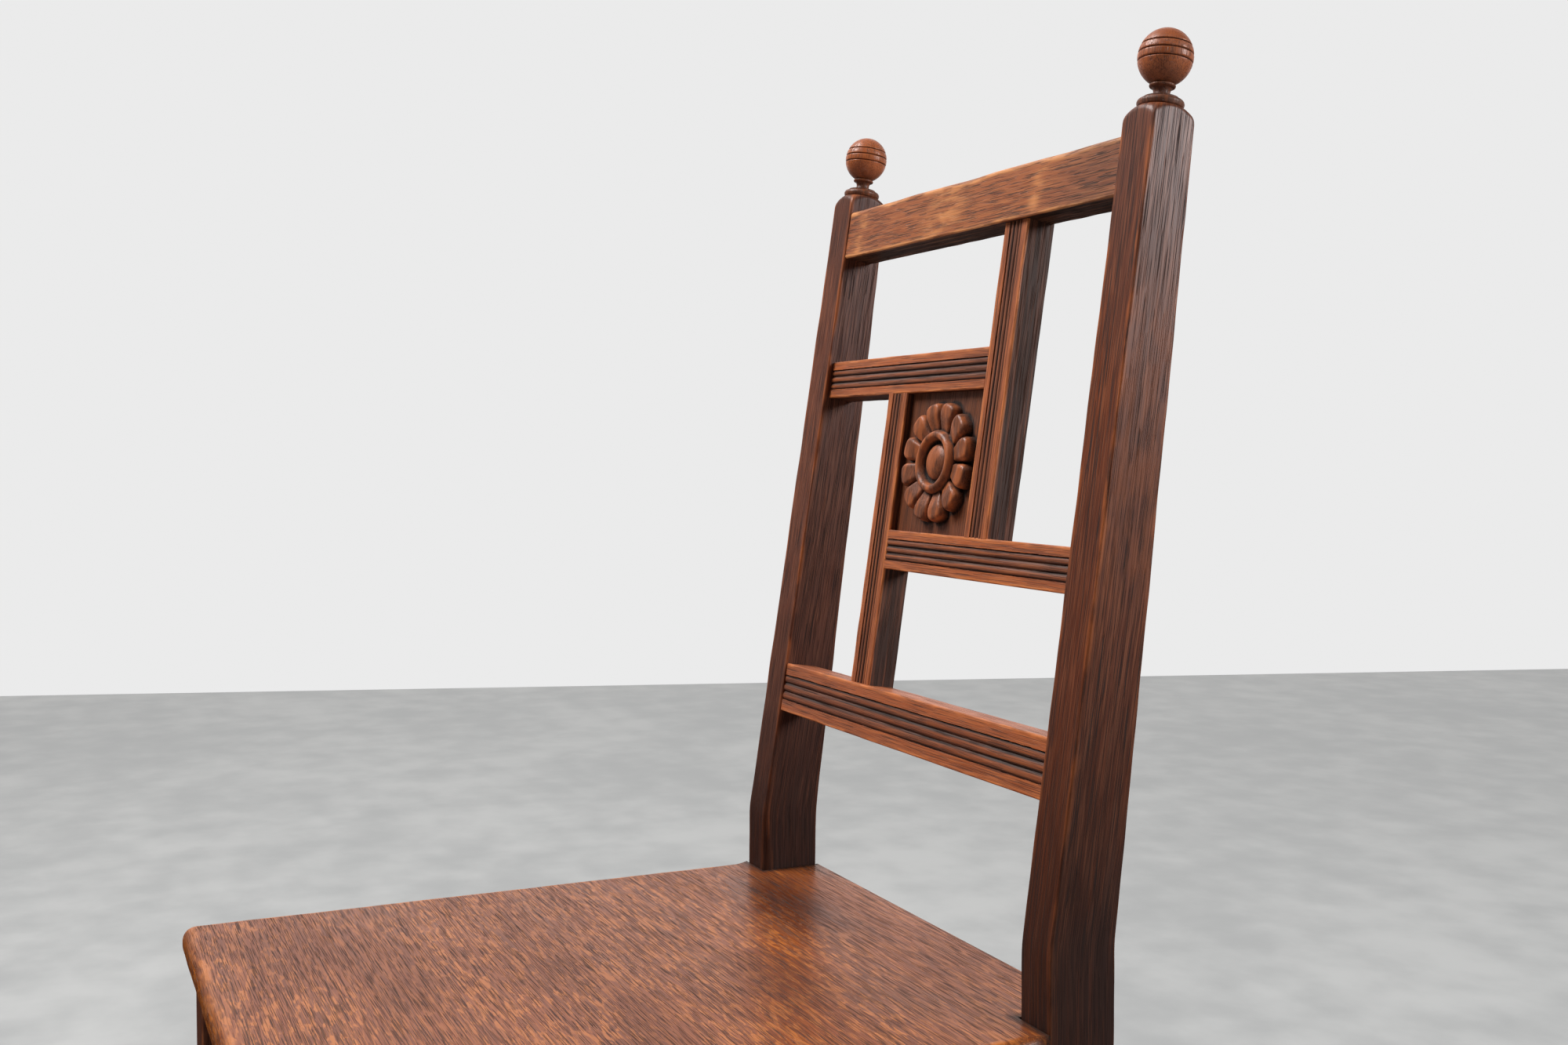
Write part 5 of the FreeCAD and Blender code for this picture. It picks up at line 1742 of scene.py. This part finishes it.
# Under the seat
@dataclass
class FrontLegs:
    """The two front legs: square blocks at the joints, turned between and below."""

    lines: ChairLines
    top_block: float = 0.088
    low_block: float = 0.064
    low_block_base: float = 0.106
    collar: tuple[float, float] = (0.017, 0.007)
    cove_height: float = 0.010
    neck_radius: float = 0.011
    ring: tuple[float, float] = (0.0155, 0.005)
    shaft_top: float = 0.014
    shaft_low: float = 0.012
    foot_radius: float = 0.011
    swell: float = 0.0012
    bead_share: float = 0.4
    cove_share: float = 0.2
    arris: float = 0.0016
    ease_share: float = 0.3
    quarter_points: int = 22
    block_points: int = 14
    spacing: float = 0.0012
    blur: int = 3
    corner_rub: float = 0.05
    proud_wear: float = 0.7
    proud_height: float = 0.0008
    hollow_depth: float = 0.0012

    def bead(self, size: tuple[float, float], low: float) -> list[tuple[float, ...]]:
        """A round edge that stands proud by a share of its height."""
        bulge = self.bead_share * size[1]
        return [(size[0] - bulge, low, bulge), (size[0] - bulge, low + size[1])]

    def cove(self, low: float) -> list[tuple[float, ...]]:
        """A hollow that sinks by a share of its height to the neck.

        Args:
            low: Height of its lower edge.

        Returns:
            Its two stops.
        """
        depth = self.cove_share * self.cove_height
        rim = self.neck_radius + depth
        return [(rim, low, -depth), (rim, low + self.cove_height)]

    def turnings(self) -> list[Array]:
        """Radius and height of the two turned lengths, the foot and the shaft.

        Returns:
            The two outlines.
        """
        base, block_top = self.low_block_base, self.low_block_base + self.low_block
        top = self.lines.seat_under - self.top_block
        foot_collar = base - self.collar[1]
        foot_ring = foot_collar - self.cove_height - self.ring[1]
        low_cove = block_top + self.collar[1]
        low_ring = low_cove + self.cove_height
        high_collar = top - self.collar[1]
        high_cove = high_collar - self.cove_height
        high_ring = high_cove - self.ring[1]
        foot = [(self.foot_radius, 0.0, self.swell), (self.shaft_top, foot_ring)]
        foot += self.bead(self.ring, foot_ring) + self.cove(foot_collar - self.cove_height)
        foot += self.bead(self.collar, foot_collar)
        shaft = self.bead(self.collar, block_top) + self.cove(low_cove) + self.bead(self.ring, low_ring)
        shaft += [(self.shaft_low, low_ring + self.ring[1], self.swell), (self.shaft_top, high_ring)]
        shaft += self.bead(self.ring, high_ring) + self.cove(high_cove)
        shaft += self.bead(self.collar, high_collar)
        return [profile(foot, self.spacing), profile(shaft, self.spacing)]

    def square(self, half: Array, angle: Array) -> Array:
        """Distance to the side of a square with round corners, along an angle.

        It is half / cos on a flat. At a corner it is the far crossing of the ray with the
        corner's circle.

        Args:
            half: Half the square's width, one for each row.
            angle: Angles from -45 to 45 degrees off a flat's middle.

        Returns:
            The distances, in rows and angles.
        """
        ray_x, ray_y = np.cos(np.abs(angle)), np.sin(np.abs(angle))
        flat = half[:, None] / ray_x
        middle = half[:, None] - self.arris
        reach = middle * (ray_x + ray_y)
        inside = np.maximum(self.arris**2 - 2.0 * middle**2 + reach**2, 0.0)
        return np.where(flat * ray_y > middle, reach + np.sqrt(inside), flat)

    def shell(self, side_name: str) -> Shell:
        """One leg: a circle in every turned row, a square with round corners in the blocks' rows.

        Args:
            side_name: Which leg.

        Returns:
            The leg.
        """
        quarter = EIGHTH_TURN * np.sin(np.linspace(-QUARTER_TURN, QUARTER_TURN, self.quarter_points))
        off_flat = np.tile(quarter[:-1], 4)
        angle = off_flat + np.repeat(np.arange(4) * QUARTER_TURN, self.quarter_points - 1)
        foot, shaft = self.turnings()
        base, top = self.low_block_base, self.lines.seat_under - self.top_block
        low_block = self.block_rows(base, base + self.low_block)
        top_block = self.block_rows(top, self.lines.seat_under)
        lengths = (foot, True), (low_block, False), (shaft, True), (top_block, False)
        radius = np.vstack([np.repeat(rows[:, :1], len(angle), axis=1) if is_turned
                            else self.square(rows[:, 0], off_flat) for rows, is_turned in lengths])
        high = np.concatenate([rows[:, 1] for rows, _ in lengths])
        turned = np.concatenate([np.full(len(rows), is_turned) for rows, is_turned in lengths])[:, None]
        x, y = radius * np.cos(angle), radius * np.sin(angle)
        middle = np.array([self.lines.leg_middle * SIDES[side_name],
                           self.lines.leg_front + self.lines.leg_width / 2.0, 0.0])
        places = np.stack([x, y, np.broadcast_to(high[:, None], x.shape)], axis=-1)
        hollow = blurred(radius, self.blur) - radius
        proud = self.proud_wear * smooth_step(-hollow / self.proud_height)
        corner = np.exp(-(EIGHTH_TURN - np.abs(off_flat)) / self.corner_rub)
        wear = np.where(turned, proud, corner)
        grime_and_shade = turned * smooth_step(hollow / self.hollow_depth)
        grain = places[..., [2, 0, 1]] + board_offset(f"front_leg_{side_name}")
        return tube(places + middle, grain, wear, grime_and_shade)

    def block_rows(self, low: float, high: float) -> Array:
        """Half width and height of a block's rows, its two ends eased.

        Args:
            low: Foot of the block.
            high: Top of the block.

        Returns:
            The rows.
        """
        half = self.lines.leg_width / 2.0
        ease, part = self.arris, self.ease_share * self.arris
        lower = [(half - ease, low), (half - part, low + part), (half, low + ease)]
        rows = np.linspace(low + ease, high - ease, self.block_points)[1:-1]
        body = np.stack([np.full_like(rows, half), rows], axis=-1)
        upper = [(half, high - ease), (half - part, high - part), (half - ease, high)]
        return np.vstack([lower, body, upper])

    def build(self, shop: Workshop) -> None:
        """Makes both legs."""
        for side_name in SIDES:
            shop.piece(f"front_leg_{side_name}", self.shell(side_name), Slot.LEGS)


@dataclass
class Underframe:
    """The seat rails and stretchers between the legs."""

    lines: ChairLines
    rail_height: float = 0.062
    rail_thickness: float = 0.022
    stretcher_height: float = 0.030
    stretcher_thickness: float = 0.017
    side_stretcher_base: float = 0.122
    back_stretcher_base: float = 0.205
    cross_setback: float = 0.168
    side_let_in: float = 0.001
    back_let_in: float = 0.0003
    arris: float = 0.0014
    arris_waver: float = 0.3
    end_dirt: float = 0.6
    dirt_reach: float = 0.002
    stations: int = 90
    oblong: Oblong = Oblong(rub=0.0022)

    def bar(self, node: str, start: tuple[float, float], end: tuple[float, float], low: float,
            height: float, thickness: float) -> Shell:
        """A level bar between two points seen from above, its section rounded at the arrises.

        Args:
            node: Name of the CAD node.
            start: Middle of one end.
            end: Middle of the other end.
            low: Height of its underside.
            height: Its height.
            thickness: Its thickness.

        Returns:
            The bar.
        """
        here, there = np.array(start), np.array(end)
        length = float(np.linalg.norm(there - here))
        way = (there - here) / length
        aside = np.array([-way[1], way[0]])
        along = np.linspace(-TUCK, length + TUCK, self.stations)
        radii = wavering([self.arris] * 4, along, self.arris_waver, len(node))
        section = self.oblong.section(height, thickness, radii)
        plan = here + way * along[:, None, None] + aside * (section.deep - thickness / 2.0)[..., None]
        places = np.concatenate([plan, (low + section.across)[..., None]], axis=-1)
        run = np.broadcast_to(along[:, None], section.across.shape)
        grain = np.stack([run, section.across, section.deep], axis=-1) + board_offset(node)
        ends = np.minimum(run, length - run)
        grime_and_shade = self.end_dirt * np.exp(-np.maximum(ends, 0.0) / self.dirt_reach)
        return tube(places, grain, section.wear, grime_and_shade)

    def rails(self) -> dict[str, tuple]:
        """Ends, underside, height and thickness of the four seat rails.

        Returns:
            The sizes by node.
        """
        lines = self.lines
        low = lines.seat_under - self.rail_height
        size = low, self.rail_height, self.rail_thickness
        leg_back = lines.leg_front + lines.leg_width
        rear_x = lines.post_centre(low + self.rail_height / 2.0)
        inside = lines.leg_middle - lines.leg_width / 2.0
        front_y = lines.leg_front + lines.leg_width / 2.0
        back_y = lines.post_front + lines.post_depth / 2.0
        back_x = rear_x - lines.post_half + self.rail_height * math.tan(lines.lean) / 2.0
        made = {
            "front_seat_rail": ((-inside, front_y), (inside, front_y), *size),
            "back_seat_rail": ((-back_x, back_y), (back_x, back_y), *size),
        }
        for side_name, side in SIDES.items():
            start, end = (lines.leg_middle * side, leg_back), (rear_x * side, lines.post_front)
            made[f"side_seat_rail_{side_name}"] = (start, end, *size)
        return made

    def stretchers(self) -> dict[str, tuple]:
        """Ends, underside, height and thickness of the cross, side and back stretchers.

        Returns:
            The sizes by node.
        """
        lines = self.lines
        low, high = self.side_stretcher_base, self.back_stretcher_base
        middle = low + self.stretcher_height / 2.0
        size = self.stretcher_height, self.stretcher_thickness
        leg_back = lines.leg_front + lines.leg_width
        rear_x = lines.post_centre(middle)
        rear_y = lines.post_front + lines.leg_sweep(low) + self.side_let_in
        aim_y = lines.post_front + lines.leg_sweep(middle) + lines.foot_depth / 2.0
        slope = (rear_x - lines.leg_middle) / (aim_y - leg_back)
        end_x = lines.leg_middle + slope * (rear_y - leg_back)
        cross_y = leg_back + self.cross_setback
        cross_x = lines.leg_middle + slope * self.cross_setback - self.stretcher_thickness / 2.0
        made = {"cross_stretcher": ((-cross_x, cross_y), (cross_x, cross_y), low, *size)}
        for side_name, side in SIDES.items():
            start, end = (lines.leg_middle * side, leg_back), (end_x * side, rear_y)
            made[f"side_stretcher_{side_name}"] = (start, end, low, *size)
        back_middle = high + self.stretcher_height / 2.0
        knee = lines.seat_height - lines.knee_drop
        depth = lines.foot_depth + (lines.post_depth - lines.foot_depth) * back_middle / knee
        back_y = lines.post_front + lines.leg_sweep(back_middle) + depth / 2.0
        back_x = lines.post_inside(back_middle) + self.back_let_in
        made["back_stretcher"] = ((-back_x, back_y), (back_x, back_y), high, *size)
        return made

    def build(self, shop: Workshop) -> None:
        """Makes the rails and stretchers, and finishes the hidden blocks and screws.

        Args:
            shop: Makes the objects.
        """
        for node, sizes in (self.rails() | self.stretchers()).items():
            shop.piece(node, self.bar(node, *sizes), Slot.UNDERFRAME)
        for end in ("front", "back"):
            for side_name in SIDES:
                shop.dress(f"corner_block_{end}_{side_name}", Slot.BLOCKS)
        shop.dress("seat_screws", Slot.SCREWS)


# Floor, wall, lights and camera
@dataclass(frozen=True)
class Lamp:
    """A soft oblong light.

    Attributes:
        name: Its name.
        place: Where it hangs.
        target: Where it is aimed.
        size: Its width and height.
        power: Its power in watts.
        colour: Its colour.
    """

    name: str
    place: Triple
    target: Triple
    size: tuple[float, float]
    power: float
    colour: Colour = (1.0, 1.0, 1.0)


@dataclass
class Studio:
    """A plain pale room with soft light, seen from the front right."""

    eye: Triple = (0.88743, -0.349255, 0.77544)
    ahead: Triple = (-0.89594, 0.44171, -0.04677)
    aside: Triple = (0.44198, 0.89701, 0.00489)
    lens: float = 35.09
    sensor: float = 36.0
    wall_foot: tuple[Triple, Triple] = ((-7.0, -8.4, 0.0), (-1.2, 9.6, 0.0))
    wall_height: float = 7.0
    wall_glow: float = 0.83
    wall_fade: tuple[float, float] = (-2.4, -0.7)
    floor_half: float = 12.0
    floor_shades: tuple[Colour, Colour] = ((0.235, 0.237, 0.235), (0.315, 0.315, 0.31))
    floor_levels: tuple[float, float] = (0.7, 1.3)
    floor_roughness: tuple[float, float] = (0.5, 0.7)
    floor_glow: float = 0.215
    floor_mean: float = 0.3
    world_glow: float = 0.11
    lamps: tuple[Lamp, ...] = (
        Lamp("skylight", (-1.07, -1.27, 3.3), (0.0, 0.1, 0.8), (1.6, 1.6), 125.0),
        Lamp("window", (2.1, 2.1, 1.84), (0.2, 0.2, 0.95), (1.0, 1.1), 60.0, (0.95, 0.98, 1.0)),
    )

    def sheet(self, name: str, corners: Sequence[Sequence[float]], material: bpy.types.Material,
              in_wax: bool) -> None:
        """A flat sheet of the room, which is no part of the chair.

        Args:
            name: Name of the sheet.
            corners: Its corners in order.
            material: Its material.
            in_wax: Whether the wax mirrors it.
        """
        mesh = bpy.data.meshes.new(name)
        mesh.from_pydata([tuple(corner) for corner in corners], [], [tuple(range(len(corners)))])
        mesh.materials.append(material)
        made = set_up(name, mesh)
        made.visible_glossy = in_wax

    def room(self) -> None:
        """The pale floor and wall."""
        floor = NodeSheet("pale_floor")
        place = floor.grain(GrainSource.OBJECT)
        cloud = floor.calc("ADD", floor.noise(place, FLOOR_CLOUDS), floor.noise(place, FLOOR_SPECKS))
        shade = floor.blend(floor.ramp(cloud, *self.floor_levels), *self.floor_shades)
        rough = floor.ramp(cloud, *self.floor_levels, *self.floor_roughness)
        floor.feed(floor.shader.inputs["Base Color"], shade)
        floor.feed(floor.shader.inputs["Emission Color"], shade)
        floor.shader.inputs["Emission Strength"].default_value = self.floor_glow / self.floor_mean
        floor.feed(floor.shader.inputs["Roughness"], rough)
        half = self.floor_half
        self.sheet("floor", [(-half, -half, 0), (half, -half, 0), (half, half, 0), (-half, half, 0)],
                   floor.material, in_wax=False)
        wall = NodeSheet("pale_wall")
        wall.shader.inputs["Base Color"].default_value = (0.0, 0.0, 0.0, 1.0)
        wall.shader.inputs["Specular IOR Level"].default_value = 0.0
        wall.shader.inputs["Emission Color"].default_value = (1.0, 1.0, 1.0, 1.0)
        parts = wall.add("ShaderNodeSeparateXYZ")
        wall.feed(parts.inputs["Vector"], wall.grain(GrainSource.OBJECT))
        wall.feed(wall.shader.inputs["Emission Strength"],
                  wall.ramp(parts.outputs["Y"], *self.wall_fade, 0.0, self.wall_glow))
        start, end = (np.array(corner) for corner in self.wall_foot)
        rise = np.array([0.0, 0.0, self.wall_height])
        self.sheet("wall", [start, end, end + rise, start + rise], wall.material, in_wax=True)

    def light(self, lamp: Lamp) -> None:
        """Hangs one light, hidden from the camera.

        Args:
            lamp: The light.
        """
        glow = bpy.data.lights.new(lamp.name, "AREA")
        glow.shape = "RECTANGLE"
        glow.size, glow.size_y = lamp.size
        glow.energy = lamp.power
        glow.color = lamp.colour
        made = set_up(lamp.name, glow)
        place = np.array(lamp.place)
        way = np.array(lamp.target) - place
        made.matrix_world = turned_to(place, way / np.linalg.norm(way), np.array([0.0, 0.0, 1.0]))
        made.visible_camera = False

    def lights(self) -> None:
        """A large soft light high at the front, and a window at the back on the right."""
        for lamp in self.lamps:
            self.light(lamp)
        world = bpy.data.worlds.new("soft_room")
        world.use_nodes = True
        shade = next(node for node in world.node_tree.nodes if node.type == "BACKGROUND")
        shade.inputs["Color"].default_value = (1.0, 1.0, 1.0, 1.0)
        shade.inputs["Strength"].default_value = self.world_glow
        bpy.context.scene.world = world
        world.cycles_visibility.glossy = False

    def camera(self) -> None:
        """The camera at the photograph's place."""
        lens = bpy.data.cameras.new("camera")
        lens.sensor_fit = "HORIZONTAL"
        lens.sensor_width = self.sensor
        lens.lens = self.lens
        made = set_up("camera", lens)
        up = np.cross(np.array(self.aside), np.array(self.ahead))
        made.matrix_world = turned_to(np.array(self.eye), np.array(self.ahead), up)
        bpy.context.scene.camera = made
        bpy.context.scene.view_settings.view_transform = "Standard"

    def build(self) -> None:
        """Sets up the whole room."""
        self.room()
        self.lights()
        self.camera()


def turned_to(place: Array, ahead: Array, up: Array) -> Matrix:
    """A turn that looks ahead with a given up, for a camera or a light.

    Args:
        place: Where it stands.
        ahead: Way it looks, of length 1.
        up: Roughly its own up.

    Returns:
        The matrix, whose columns are right, up, backwards and the place.
    """
    right = np.cross(ahead, up)
    right = right / np.linalg.norm(right)
    turned = np.eye(4)
    turned[:3, :] = np.stack([right, np.cross(right, ahead), -ahead, place], axis=-1)
    return Matrix(turned.tolist())


def main() -> None:
    """Builds the chair's looks and the room round it."""
    logging.basicConfig(level=logging.INFO, format="%(name)s %(message)s")
    shop = Workshop()
    lines = ChairLines()
    posts = Posts(lines)
    back = OpenBack(lines)
    for part in (posts, Finials(posts), back, RosettePanel(back), SeatBoard(lines), FrontLegs(lines),
                 Underframe(lines)):
        part.build(shop)
    Studio().build()


if __name__ == "__main__":
    main()
